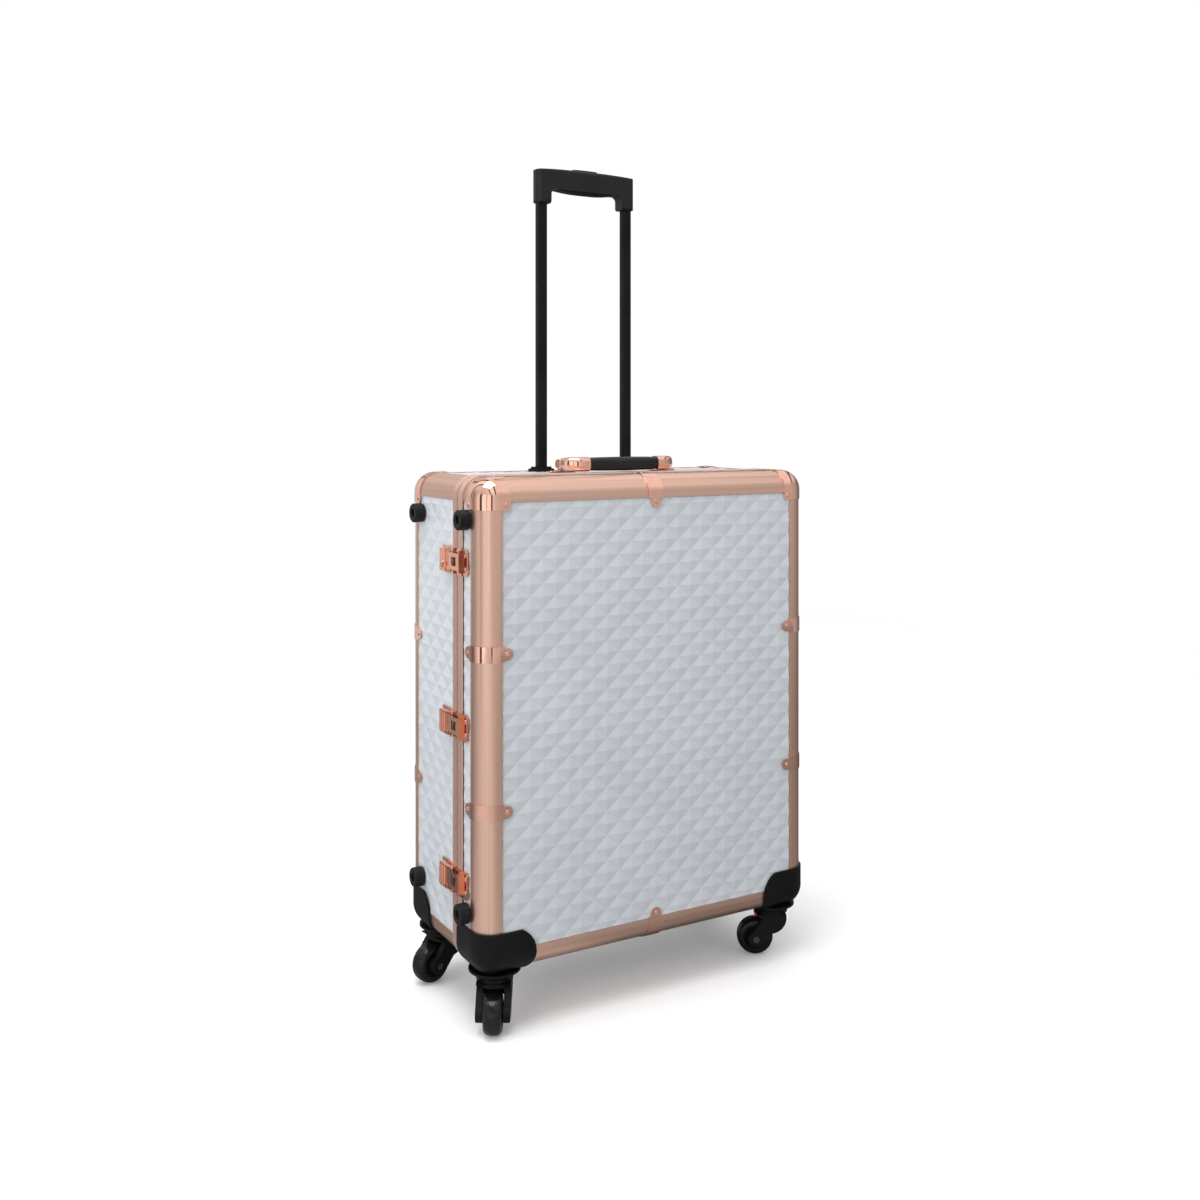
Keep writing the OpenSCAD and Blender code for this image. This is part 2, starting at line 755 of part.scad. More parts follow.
module lid_hinge_leaves() {
    color(rose_polished) for (z = latch_z) on_right_face(z) difference() {
        union() {
            difference() {
                stepped_plate(split_y - catch_l, split_y, strip_in_lid, latch_h);
                for (s = [-1, 1]) flipped([0, 0, 1], s < 0)
                    translate([-1, split_y - knuckle_r - 0.5, mid_knuckle / 2 - knuckle_gap]) cube([12, 20, latch_h]);
            }
            translate([hinge_out, split_y, -mid_knuckle / 2 + knuckle_gap])
                cylinder(h = mid_knuckle - 2 * knuckle_gap, r = knuckle_r);
        }
        translate([hinge_out, split_y, -latch_h]) cylinder(h = 2 * latch_h, r = hinge_pin_r + pin_fit);
        for (s = [-1, 1]) translate([-1, split_y - catch_l + 7, s * 11]) rotate([0, 90, 0]) cylinder(h = 6, r = 1.9);
    }
}

module base_hinge_leaves() {
    color(rose_polished) for (z = latch_z) on_right_face(z) difference() {
        union() {
            difference() {
                stepped_plate(split_y, split_y + catch_l, strip_in_base, latch_h);
                translate([-1, split_y - 1, -mid_knuckle / 2]) cube([12, knuckle_r + 1.5, mid_knuckle]);
            }
            for (s = [-1, 1]) flipped([0, 0, 1], s < 0)
                translate([hinge_out, split_y, mid_knuckle / 2]) cylinder(h = (latch_h - mid_knuckle) / 2, r = knuckle_r);
        }
        translate([hinge_out, split_y, -latch_h]) cylinder(h = 2 * latch_h, r = hinge_pin_r + snug);
        for (s = [-1, 1]) translate([-1, split_y + catch_l - 7, s * 11]) rotate([0, 90, 0]) cylinder(h = 6, r = 1.9);
    }
}

module hinge_pins() {
    color(steel_grey) for (z = latch_z) on_right_face(z)
        translate([hinge_out, split_y, -latch_h / 2]) cylinder(h = latch_h, r = hinge_pin_r);
}

// Rear shell
module base_panels() {
    color(board_brown) {
        board([left_x + board_edge, back_y - board_in, bottom_z + board_edge],
              [right_x - board_edge, back_y - board_depth, top_z - board_edge]);
        side_boards(base_end_y + web_l + part_gap, back_y - board_edge, true);
    }
}

module base_skins() {
    w = case_w - 2 * (window + part_gap);
    h = case_h - 2 * (window + part_gap);
    color(skin_white) {
        translate([-w / 2, back_y - board_depth, mid_z + h / 2]) rotate([-90, 0, 0]) quilted(w, h);
        side_skins(strip_in_base + part_gap, back_y - window - part_gap, true);
    }
}

module base_rails() {
    color(rose_satin) {
        rails_across(1);
        rails_upright(1);
        rails_deep(1, case_d - lid_d - split_gap / 2 - web_l - part_gap);
    }
}

tongue_depth = rail_wall + 1.4;

module base_rim() {
    color(rose_polished) {
        outline_ring(-rim_proud, -seat_gap, base_end_y + web_l, strip_in_base);
        outline_ring(-seat_gap, lining_in - 1, base_end_y, base_end_y + groove_w);
        outline_ring(-rim_proud, lining_in - 1, base_end_y + groove_w, base_end_y + web_l);
        base_tongue();
    }
}

// The tongue stops short of the hinged side, where the front shell turns about it
module base_tongue() {
    hinged_gap = window + 6;
    difference() {
        outline_ring(tongue_depth, tongue_depth + rail_wall, lid_end_y - tongue_l, base_end_y);
        translate([right_x - hinged_gap, lid_end_y - tongue_l - 1, bottom_z]) cube([hinged_gap, 2 * tongue_l, case_h]);
    }
}

module base_corner_caps() {
    color(rose_polished) for (sx = [-1, 1]) at_corner(sx, 1, 1) corner_cap();
}

module base_rail_bands() {
    color(rose_polished) bands(1);
}

module base_lining() {
    color(lining_black) difference() {
        union() {
            outline_ring(lining_out, lining_in, base_end_y + web_l + part_gap, back_y - lining_out);
            along_y(back_y - lining_in, back_y - lining_out) case_outline(lining_out + 1);
        }
        for (sx = [-1, 1]) translate([sx * tow_span / 2, tow_row_y, top_z - lining_in - 1])
            linear_extrude(lining_t + 4) rounded_rect(sleeve_w + 2 * part_gap, sleeve_d + 2 * part_gap, tube_r + tube_wall);
    }
}

// Two shelves, notched round the box over the sleeves, with a raised front edge
module base_shelves() {
    half = case_w / 2 - lining_in - part_gap;
    y0 = base_end_y + web_l + 2;
    y1 = back_y - lining_in - part_gap;
    color(lining_black) for (z = shelf_z) difference() {
        union() {
            board([-half, y0, bottom_z + z], [half, y1, bottom_z + z + shelf_t]);
            board([-half, y0, bottom_z + z], [half, y0 + shelf_t, bottom_z + z + 3 * shelf_t]);
        }
        board([-cover_w / 2 - part_gap, back_y - lining_in - cover_d - part_gap, bottom_z + z - 1],
              [cover_w / 2 + part_gap, back_y, bottom_z + z + shelf_t + 1]);
    }
}

// The upright box that hides the sleeves
module sleeve_cover() {
    wall = 2.5;
    low = bottom_z + lining_in + part_gap;
    high = top_z - lining_in - part_gap;
    y1 = back_y - lining_in - snug;
    color(lining_black) difference() {
        board([-cover_w / 2, y1 - cover_d, low], [cover_w / 2, y1, high]);
        board([-cover_w / 2 + wall, y1 - cover_d + wall, low - 1], [cover_w / 2 - wall, y1 + 1, high + 1]);
    }
}

// Tow handle: fixed sleeves, flanges on the top, sliding tubes and a moulded grip
sleeve_w = tube_w + 2 * (tube_fit + tube_wall);
sleeve_d = tube_d + 2 * (tube_fit + tube_wall);
flange_w = 40;
flange_d = 26;
plug_w = flange_w - 2;
plug_d = 2 * (tow_back - window - 0.5);
flange_r = 12;
flange_h = 6;
grip_z = top_z + grip_top;
socket_z = grip_z - socket_h;
tow_row_y = back_y - tow_back;

module tube(w, d, r, wall, length) {
    linear_extrude(length) difference() {
        rounded_rect(w, d, r);
        rounded_rect(w - 2 * wall, d - 2 * wall, r - wall / 2);
    }
}

module tow_sleeves() {
    low = bottom_z + lining_in + part_gap;
    high = top_z - 1;
    color(steel_grey) for (sx = [-1, 1]) translate([sx * tow_span / 2, tow_row_y, low])
        tube(sleeve_w, sleeve_d, tube_r + tube_fit + tube_wall, tube_wall, high - low);
}

module tow_flanges() {
    color(plastic_black) for (sx = [-1, 1]) translate([sx * tow_span / 2, tow_row_y, top_z]) difference() {
        union() {
            translate([0, 0, -board_depth + snug]) linear_extrude(board_depth + 1) rounded_rect(plug_w, plug_d, plug_d / 2 - 1);
            translate([0, 0, seat_gap]) linear_extrude(flange_h - 3) rounded_rect(flange_w, flange_d, flange_r);
            translate([0, 0, flange_h - 4]) linear_extrude(4) rounded_rect(flange_w - 8, flange_d - 6, flange_r - 3);
        }
        translate([0, 0, -board_depth - 1]) linear_extrude(board_depth) rounded_rect(sleeve_w + 2 * snug, sleeve_d + 2 * snug, tube_r + tube_fit + tube_wall);
        translate([0, 0, -board_depth - 1]) linear_extrude(board_depth + flange_h + 2) rounded_rect(tube_w + 2 * tube_fit, tube_d + 2 * tube_fit, tube_r + tube_fit);
    }
}

tube_top = socket_z + 30;

module tow_tubes() {
    color(tube_black) for (sx = [-1, 1]) translate([sx * tow_span / 2, tow_row_y, tube_top - tube_l])
        tube(tube_w, tube_d, tube_r, tube_wall, tube_l);
}

// The grip's outline seen from the front: an arched bar between two sockets
module grip_outline() {
    half = grip_w / 2;
    socket_w = tube_w + 8;
    arch_r = (half * half + grip_arch * grip_arch) / (2 * grip_arch);
    inner = tow_span / 2 - socket_w / 2;
    fillet = 8;
    intersection() {
        union() {
            translate([-half, -grip_bar]) square([grip_w, grip_bar + grip_arch]);
            for (sx = [-1, 1]) translate([sx * tow_span / 2 - socket_w / 2, -socket_h]) square([socket_w, socket_h - 5]);
            for (sx = [-1, 1]) flipped([1, 0], sx > 0) difference() {
                translate([-inner - 1, -grip_bar - fillet]) square([fillet + 1, fillet + 1]);
                translate([-inner + fillet, -grip_bar - fillet]) circle(fillet);
            }
        }
        translate([0, grip_arch - arch_r]) circle(arch_r, $fn = 360);
        translate([0, (grip_arch - socket_h) / 2]) rounded_rect(grip_w, socket_h + grip_arch, 5);
    }
}

module tow_grip() {
    seam = 1;
    color(plastic_black) translate([0, tow_row_y, grip_z]) difference() {
        intersection() {
            along_y(-grip_d / 2, grip_d / 2) grip_outline();
            translate([0, 0, -socket_h - 1]) linear_extrude(socket_h + 10) rounded_rect(grip_w, grip_d, 8);
            along_x(-grip_w, grip_w) translate([0, (grip_arch - socket_h) / 2]) rounded_rect(grip_d, socket_h + grip_arch, 5);
        }
        for (sx = [-1, 1]) translate([sx * tow_span / 2, 0, -socket_h - 1])
            linear_extrude(tube_top - socket_z + 1 + snug) rounded_rect(tube_w + 2 * snug, tube_d + 2 * snug, tube_r + snug);
        translate([0, 0, -button_pocket]) linear_extrude(button_pocket + 10) rounded_rect(button_l + 2 * part_gap, button_w + 2 * part_gap, button_w / 2 - 0.5 + part_gap);
        along_y(-grip_d / 2 + 2.5, grip_d / 2 - 2.5) translate([0, -grip_bar]) square([2 * insert_half, 2 * seam + 2], center = true);
    }
}

button_w = 11;
button_pocket = 12;
button_travel = 4;
insert_half = tow_span / 2 - tube_w / 2 - 15;

// The soft insert under the bar, with a round belly
module tow_palm_insert() {
    root_t = 1.6;
    belly_r = (insert_half * insert_half + grip_belly * grip_belly) / (2 * grip_belly);
    d = grip_d - 6;
    color(rubber_black) translate([0, tow_row_y, grip_z - grip_bar]) intersection() {
        along_y(-d / 2, d / 2) union() {
            translate([-insert_half + part_gap, -snug]) square([2 * (insert_half - part_gap), root_t]);
            intersection() {
                translate([0, belly_r - grip_belly]) circle(belly_r, $fn = 360);
                translate([-insert_half + part_gap, -20]) square([2 * (insert_half - part_gap), 20]);
            }
        }
        along_x(-grip_w, grip_w) union() {
            intersection() {
                translate([0, d / 2 - grip_belly + 2]) circle(d / 2 + 2);
                translate([-d / 2, -20]) square([d, 20]);
            }
            translate([-d / 2, -snug]) square([d, root_t]);
        }
    }
}

module release_button() {
    color(tube_black) translate([0, tow_row_y, grip_z - button_pocket + button_travel + part_gap]) {
        h = button_pocket - button_travel - part_gap + grip_arch + button_proud;
        intersection() {
            linear_extrude(h) rounded_rect(button_l, button_w, button_w / 2 - 0.5);
            translate([0, button_w, h - 600]) rotate([90, 0, 0]) cylinder(h = 2 * button_w, r = 600, $fn = 360);
        }
    }
}

// Carry handle: brackets with a lug, a pin through each, cast ends, a steel core and a padded grip
carry_row_y = front_y + carry_y;
lug_w = 6;
lug_r = 4.5;
cheek_w = 3.5;
cheek_r = 5;
carry_bar_y = carry_row_y - carry_reach;
carry_axis_z = top_z + carry_z;
core_t = 4;
core_w = 14;

module carry_brackets() {
    plate_l = 46;
    plate_w = 16;
    color(rose_polished) for (sx = [-1, 1]) translate([sx * carry_span / 2, carry_row_y, top_z]) difference() {
        union() {
            translate([0, 0, seat_gap]) linear_extrude(2) rounded_rect(plate_l, plate_w, plate_w / 2 - 0.5);
            along_x(-lug_w / 2, lug_w / 2) {
                translate([0, carry_z]) circle(lug_r);
                translate([-lug_r, seat_gap + 1]) square([2 * lug_r, carry_z - seat_gap - 1]);
            }
        }
        for (s = [-1, 1]) translate([s * (plate_l / 2 - 7), 0, -1]) cylinder(h = 5, r = 1.9);
        translate([-lug_w, 0, carry_z]) rotate([0, 90, 0]) cylinder(h = 2 * lug_w, r = carry_pin_r + snug);
    }
}

module carry_pins() {
    length = lug_w + 2 * cheek_w + 1.4;
    color(rose_polished) for (sx = [-1, 1]) translate([sx * carry_span / 2, carry_row_y, carry_axis_z])
        rotate([0, 90, 0]) cylinder(h = length, r = carry_pin_r, center = true);
}

// One cast end: two cheeks on the pin, a rounded arm and a cup over the grip's end
module carry_end() {
    inner = lug_w / 2 + 0.3;
    outer = inner + cheek_w;
    cup_t = carry_grip_t + 1;
    arm_t = 10;
    grip_end = carry_span / 2 - carry_grip_l / 2;
    difference() {
        union() {
            for (s = [-1, 1]) along_x(s > 0 ? inner : -outer, s > 0 ? outer : -inner) {
                circle(cheek_r);
                translate([-carry_reach + 8, -cheek_r]) square([carry_reach - 8, 2 * cheek_r]);
            }
            translate([0, 0, -arm_t / 2]) linear_extrude(arm_t) difference() {
                union() {
                    translate([0, -carry_reach + 10]) circle(outer);
                    translate([0, -carry_reach]) circle(outer);
                    translate([-outer, -carry_reach]) square([2 * outer, 10]);
                    translate([-grip_end, -carry_reach - outer]) square([grip_end, 2 * outer]);
                }
                translate([-outer - 6, -carry_reach + outer + 6]) circle(6);
            }
            intersection() {
                translate([-grip_end - 5, -carry_reach, 0]) rotate([0, 90, 0]) linear_extrude(grip_end - 2)
                    rounded_rect(cup_t, carry_grip_w + 1, cup_t / 2 - 1);
                translate([-grip_end - 5, -carry_reach, 0]) rotate([0, 90, 0]) cylinder(h = grip_end + 5, r1 = 22, r2 = 6.5);
            }
        }
        translate([-inner, -8, -20]) cube([2 * inner, 30, 40]);
        translate([-outer - 1, 0, 0]) rotate([0, 90, 0]) cylinder(h = 2 * outer + 2, r = carry_pin_r + pin_fit);
        translate([-grip_end - 6, -carry_reach, 0]) rotate([0, 90, 0]) linear_extrude(6)
            rounded_rect(carry_grip_t + snug, carry_grip_w + snug, carry_grip_t / 2 - 1.5);
        translate([-grip_end - 6, -carry_reach, 0]) rotate([0, 90, 0]) linear_extrude(12)
            square([core_t + 2 * snug, core_w + 2 * snug], center = true);
    }
}

module carry_ends() {
    color(rose_polished) for (sx = [-1, 1]) flipped([1, 0, 0], sx < 0)
        translate([carry_span / 2, carry_row_y, carry_axis_z]) carry_end();
}

module carry_core() {
    length = carry_grip_l + 10;
    color(steel_grey) translate([0, carry_bar_y, carry_axis_z])
        cube([length, core_w, core_t], center = true);
}

module carry_grip() {
    color(plastic_black) translate([0, carry_bar_y, carry_axis_z]) rotate([0, 90, 0]) difference() {
        linear_extrude(carry_grip_l, center = true) rounded_rect(carry_grip_t, carry_grip_w, carry_grip_t / 2 - 1.5);
        linear_extrude(carry_grip_l + 2, center = true) square([core_t + 2 * snug, core_w + 2 * snug], center = true);
    }
}

// Casters. In a caster's own frame the stem is the Z axis, the case's underside is z = 0 and the wheel trails towards +X.
crown_z = -neck_h - 0.4;
crown_t = 8;
crown_r = fork_w / 2 - 1.5;
axle_z = wheel_r - ground_clearance;
boss_r = 12;
slot_front = -trail + wheel_r + 3;

module at_caster(i) {
    sx = i % 2 == 0 ? -1 : 1;
    sy = i < 2 ? -1 : 1;
    translate([sx * (case_w / 2 - stem_in), sy * (case_d / 2 - stem_in), bottom_z]) rotate([0, 0, caster_turn[i]]) children();
}

// Side view of a fork: a round nose under the crown and an arm back to the axle
module fork_side() {
    nose_r = crown_r + 2.5;
    difference() {
        union() {
            translate([3, crown_z - 4]) circle(nose_r);
            translate([trail, axle_z]) circle(boss_r);
            polygon([
                [-9, crown_z - 18], [trail - 9, axle_z - 8], [trail + boss_r, axle_z + 2],
                [14, crown_z - crown_t], [14, crown_z]
            ]);
        }
        translate([-50, crown_z]) square([120, 60]);
        translate([14, crown_z - crown_t]) rotate(-50) translate([0, 0]) square([30, 30]);
    }
}

module caster_fork(i) {
    color(plastic_black) at_caster(i) difference() {
        union() {
            intersection() {
                along_y(-fork_w / 2, fork_w / 2) fork_side();
                along_x(-60, 60) translate([0, axle_z - boss_r + 35]) rounded_rect(fork_w, 70, 6);
            }
            translate([0, 0, crown_z - crown_t]) cylinder(h = crown_t, r = crown_r);
            translate([0, 0, crown_z - 1]) cylinder(h = stem_top - crown_z + 1, r = stem_r);
        }
        translate([-slot_front, -fork_gap / 2, axle_z - boss_r - 5]) cube([80, fork_gap, crown_z - crown_t - axle_z + boss_r + 5]);
        translate([trail, 0, axle_z]) rotate([90, 0, 0]) cylinder(h = fork_w + 2, r = axle_r + snug, center = true);
        for (s = [-1, 1]) translate([trail, s * (fork_w / 2 - 1), axle_z]) rotate([s * -90, 0, 0]) cylinder(h = 5, r = 6);
        if (i == 1) translate([9, -brake_w / 2 - part_gap, crown_z - crown_t - 1]) cube([30, brake_w + 2 * part_gap, crown_t - 1.5]);
    }
}

module caster_axle(i) {
    color(steel_grey) at_caster(i) translate([trail, 0, axle_z]) rotate([90, 0, 0]) {
        cylinder(h = fork_w - 2.4, r = axle_r, center = true);
        for (s = [-1, 1]) translate([0, 0, s * (fork_w / 2 - 0.6)]) cylinder(h = 0.8, r = 5, center = true);
    }
}

// A wheel with a crowned tread and a dished hub on each side
module caster_wheel(i) {
    crown_drop = 3.5;
    half = wheel_w / 2;
    tread_r = (half * half + crown_drop * crown_drop) / (2 * crown_drop);
    color(rubber_black) at_caster(i) translate([trail, 0, axle_z]) rotate([90, 0, 0]) rotate_extrude() difference() {
        intersection() {
            translate([0, -half]) square([wheel_r, wheel_w]);
            translate([wheel_r - tread_r, 0]) circle(tread_r, $fn = 128);
        }
        for (s = [-1, 1]) translate([8, s > 0 ? half - 4 : -half - 1]) square([wheel_r - 16, 5]);
        translate([-1, -half - 1]) square([axle_r + pin_fit + 1, wheel_w + 2]);
    }
}

// The brake tab of the right front caster, on a cross pin under the crown
brake_w = 15;
brake_tilt = 18;

module brake_tab() {
    color(brake_red) at_caster(1) translate([11.5, 0, crown_z - crown_t + 0.2]) {
        rotate([90, 0, 0]) cylinder(h = brake_w, r = 1.8, center = true);
        rotate([0, -brake_tilt, 0]) translate([0, -brake_w / 2, -1.3]) cube([14, brake_w, 2.6]);
    }
}

lid_panels();
lid_skins();
lid_rails();
lid_rim();
lid_corner_caps();
lid_rail_bands();
lid_lining();
lid_mirror();
lid_mirror_frame();
lid_feet();
lid_caster_brackets();
latch_catches();
lid_hinge_leaves();
base_panels();
base_skins();
base_rails();
base_rim();
base_corner_caps();
base_rail_bands();
base_lining();
base_shelves();
sleeve_cover();
base_feet();
base_caster_brackets();
latch_bases();
latch_pins();
base_hinge_leaves();
hinge_pins();
tow_sleeves();
tow_flanges();
carry_brackets();
carry_pins();
tow_tubes();
tow_grip();
tow_palm_insert();
release_button();
carry_ends();
carry_core();
carry_grip();
for (i = [0 : 2]) {
    color(rose_polished) on_left_face(latch_z[i]) latch_lever(i == 2);
    color(rose_polished) on_left_face(latch_z[i]) latch_claw();
}
key_cylinder();
for (i = [0 : 3]) {
    caster_fork(i);
    caster_axle(i);
    caster_wheel(i);
}
brake_tab();
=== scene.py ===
import json
import math

import bmesh
import bpy
import numpy as np
from mathutils import Matrix, Vector


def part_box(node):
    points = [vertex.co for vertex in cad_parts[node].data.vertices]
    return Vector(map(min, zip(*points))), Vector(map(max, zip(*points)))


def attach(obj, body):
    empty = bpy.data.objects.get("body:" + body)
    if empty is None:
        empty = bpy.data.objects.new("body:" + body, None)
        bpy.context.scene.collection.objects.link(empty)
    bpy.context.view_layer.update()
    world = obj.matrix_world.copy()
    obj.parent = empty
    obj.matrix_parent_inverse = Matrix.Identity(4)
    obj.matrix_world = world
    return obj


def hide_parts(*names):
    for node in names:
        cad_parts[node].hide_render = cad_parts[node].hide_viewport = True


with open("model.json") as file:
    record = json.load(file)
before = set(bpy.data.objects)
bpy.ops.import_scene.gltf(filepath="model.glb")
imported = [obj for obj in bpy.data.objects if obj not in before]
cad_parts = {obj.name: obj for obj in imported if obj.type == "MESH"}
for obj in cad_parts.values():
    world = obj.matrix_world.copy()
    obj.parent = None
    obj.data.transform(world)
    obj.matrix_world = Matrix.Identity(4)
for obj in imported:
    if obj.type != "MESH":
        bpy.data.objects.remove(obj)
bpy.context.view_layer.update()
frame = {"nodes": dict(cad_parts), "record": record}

# Sizes of the case, in metres, as the part has them. Z is 0 on the floor, and the front looks towards -Y.
CASE_W = 0.536
CASE_D = 0.248
CASE_H = 0.650
BOTTOM = 0.079
TOP = BOTTOM + CASE_H
MID_Z = BOTTOM + CASE_H / 2
FRONT = -CASE_D / 2
BACK = CASE_D / 2
# Depth of the front shell, and the place of the split behind it
LID_D = 0.071
SPLIT = FRONT + LID_D
# Width of an edge rail with its flat lip, and of a strip beside the split
RAIL_W = 0.032
STRIP_W = 0.016
# Heights of the bands, and of the latches and hinges, over the case's underside
BAND_Z = (0.214, 0.420)
LATCH_Z = (0.110, 0.318, 0.537)
# Middle of the carry handle's right pin
CARRY_PIN = (0.086, FRONT + 0.120, TOP + 0.0126)
# Length of a rubber foot, and the depth of its screw hollow as a share of it
FOOT_L = 0.015
HOLLOW_SHARE = 0.53
# The way each caster heads at rest, in degrees from the right towards the back
CASTER_TURN = {"fl": 240, "fr": 150, "rl": 195, "rr": 90}


# Meshes

def grid_faces(rows, columns):
    """The four-sided faces of a grid of points stored row by row, whose last column meets its first."""
    r, c = np.meshgrid(np.arange(rows - 1), np.arange(columns), indexing="ij")
    a = r * columns + c
    b = r * columns + (c + 1) % columns
    return np.stack([a, b, b + columns, a + columns], -1).reshape(-1, 4)


def mesh_piece(name, points, faces, body, slot, material):
    """A smooth piece made of points and four-sided faces, closed at its open ends, on a body."""
    mesh = bpy.data.meshes.new(name)
    mesh.from_pydata(points.tolist(), [], faces.tolist())
    shell = bmesh.new()
    shell.from_mesh(mesh)
    bmesh.ops.remove_doubles(shell, verts=shell.verts, dist=1e-6)
    bmesh.ops.holes_fill(shell, edges=shell.edges, sides=0)
    bmesh.ops.recalc_face_normals(shell, faces=shell.faces)
    shell.to_mesh(mesh)
    shell.free()
    mesh.polygons.foreach_set("use_smooth", np.ones(len(mesh.polygons), bool))
    piece = bpy.data.objects.new(name, mesh)
    bpy.context.scene.collection.objects.link(piece)
    piece.data.materials.append(material)
    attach(piece, body)
    return piece


def merged(shapes):
    """One shape from several, each a pair of points and faces."""
    starts = np.cumsum([0] + [len(points) for points, _ in shapes])
    all_points = np.concatenate([points for points, _ in shapes])
    all_faces = np.concatenate([faces + start for (_, faces), start in zip(shapes, starts)])
    return all_points, all_faces


def turned_to(normal, twist):
    """Three unit rows: two across the normal, turned by twist, and the normal itself. The first two come from
    Z, or from X where the normal is nearly upright."""
    nearly_upright = 0.7
    n = np.array(normal, float)
    n /= np.linalg.norm(n)
    helper = np.array([1.0, 0, 0]) if abs(n[2]) > nearly_upright else np.array([0, 0, 1.0])
    u = np.cross(helper, n)
    u /= np.linalg.norm(u)
    v = np.cross(n, u)
    c, s = math.cos(twist), math.sin(twist)
    return np.array([c * u + s * v, c * v - s * u, n])


def scattered(name, shape, places, body, slot, material):
    """One piece of copies of a shape, one at each (point, outward direction, twist)."""
    points, faces = shape
    copies = [(points @ turned_to(normal, twist) + np.array(place), faces) for place, normal, twist in places]
    return mesh_piece(name, *merged(copies), body, slot, material)


def turned_shape(profile, spokes):
    """A profile of (radius, height) rows carried round the Z axis: (r cos t, r sin t, h)."""
    t = np.linspace(0, 2 * math.pi, spokes, endpoint=False)
    r = profile[:, :1]
    h = profile[:, 1:] * np.ones_like(t)
    points = np.stack([r * np.cos(t), r * np.sin(t), h], -1)
    return points.reshape(-1, 3), grid_faces(len(profile), spokes)[:, ::-1]


def screw_head(radius, height, reach):
    """A round screw head on a short skirt. At r, a share of the radius, its dome lies at
    z = height (0.35 + 0.65 (1 - (0.98 r)^2)^(1/2)). A cross is sunk into it by 0.75 of the height, where one
    of the coordinates across it is under 0.16 of the radius and the other under reach."""
    rings = 9
    spokes = 32
    arm = 0.16
    r = np.linspace(1, 0.02, rings)[:, None]
    t = np.linspace(0, 2 * math.pi, spokes, endpoint=False)[None, :]
    x = r * np.cos(t)
    y = r * np.sin(t)
    dome = np.sqrt(1 - (0.98 * r) ** 2) * np.ones_like(x)
    along_x = (np.abs(y) < arm) & (np.abs(x) < reach)
    along_y = (np.abs(x) < arm) & (np.abs(y) < reach)
    z = height * (0.35 + 0.65 * dome) - np.where(along_x | along_y, 0.75 * height, 0)
    points = np.stack([x * radius, y * radius, z], -1)
    skirt = points[:1] * np.array([1, 1, 0])
    points = np.concatenate([skirt, points])
    return points.reshape(-1, 3), grid_faces(rings + 1, spokes)[:, ::-1]


def oval(angle, power):
    """Both coordinates of the curve |u|^power + |v|^power = 1."""
    c, s = np.cos(angle), np.sin(angle)
    return np.sign(c) * np.abs(c) ** (2 / power), np.sign(s) * np.abs(s) ** (2 / power)


# Node helpers

def joined(tree, operation, *values):
    """A number from others by one operation."""
    node = tree.nodes.new("ShaderNodeMath")
    node.operation = operation
    for socket, value in zip(node.inputs, values):
        if isinstance(value, (int, float)):
            socket.default_value = value
        else:
            tree.links.new(value, socket)
    return node.outputs[0]


def between(tree, value, low, high):
    """One where a value lies between two numbers, and zero elsewhere."""
    above = joined(tree, "GREATER_THAN", value, low)
    below = joined(tree, "LESS_THAN", value, high)
    return joined(tree, "MULTIPLY", above, below)


def chosen(tree, mask, first, second):
    """The second value where the mask is one, and the first elsewhere."""
    mix = tree.nodes.new("ShaderNodeMix")
    mix.data_type = "FLOAT"
    tree.links.new(mask, mix.inputs[0])
    tree.links.new(first, mix.inputs[2])
    tree.links.new(second, mix.inputs[3])
    return mix.outputs[0]


def spread(tree, value, low, high, from_low=0.3, from_high=0.7):
    """A value carried from one range to another, and held at its ends."""
    node = tree.nodes.new("ShaderNodeMapRange")
    node.inputs["From Min"].default_value = from_low
    node.inputs["From Max"].default_value = from_high
    node.inputs["To Min"].default_value = low
    node.inputs["To Max"].default_value = high
    tree.links.new(value, node.inputs["Value"])
    return node.outputs["Result"]


def ramp_of(tree, value, stops):
    """A colour or grey from a list of (position, colour or brightness) stops."""
    ramp = tree.nodes.new("ShaderNodeValToRGB")
    elements = ramp.color_ramp.elements
    elements[0].position = stops[0][0]
    elements[1].position = stops[-1][0]
    for position, _ in stops[1:-1]:
        elements.new(position)
    for element, (_, tone) in zip(elements, stops):
        element.color = (*tone, 1) if isinstance(tone, tuple) else (tone, tone, tone, 1)
    tree.links.new(value, ramp.inputs["Fac"])
    return ramp.outputs["Color"]


def two_tone(tree, value, dark, light):
    """A colour between two, by a noise whose values lie round a half."""
    return ramp_of(tree, value, [(0.35, dark), (0.65, light)])


def object_axes(tree):
    """The three object coordinates."""
    split = tree.nodes.new("ShaderNodeSeparateXYZ")
    tree.links.new(tree.nodes.new("ShaderNodeTexCoord").outputs["Object"], split.inputs[0])
    return split.outputs


def object_noise(tree, scale, detail, stretch=(1, 1, 1)):
    """A noise over the object coordinates; stretch gives its density along each axis."""
    coords = tree.nodes.new("ShaderNodeTexCoord")
    mapping = tree.nodes.new("ShaderNodeMapping")
    mapping.inputs["Scale"].default_value = stretch
    noise = tree.nodes.new("ShaderNodeTexNoise")
    noise.inputs["Scale"].default_value = scale
    noise.inputs["Detail"].default_value = detail
    tree.links.new(coords.outputs["Object"], mapping.inputs["Vector"])
    tree.links.new(mapping.outputs["Vector"], noise.inputs["Vector"])
    return noise.outputs["Fac"]


def relief(tree, shader, height, strength, distance):
    """Bumps from a height."""
    bump = tree.nodes.new("ShaderNodeBump")
    bump.inputs["Strength"].default_value = strength
    bump.inputs["Distance"].default_value = distance
    tree.links.new(height, bump.inputs["Height"])
    tree.links.new(bump.outputs["Normal"], shader.inputs["Normal"])


# Finishes

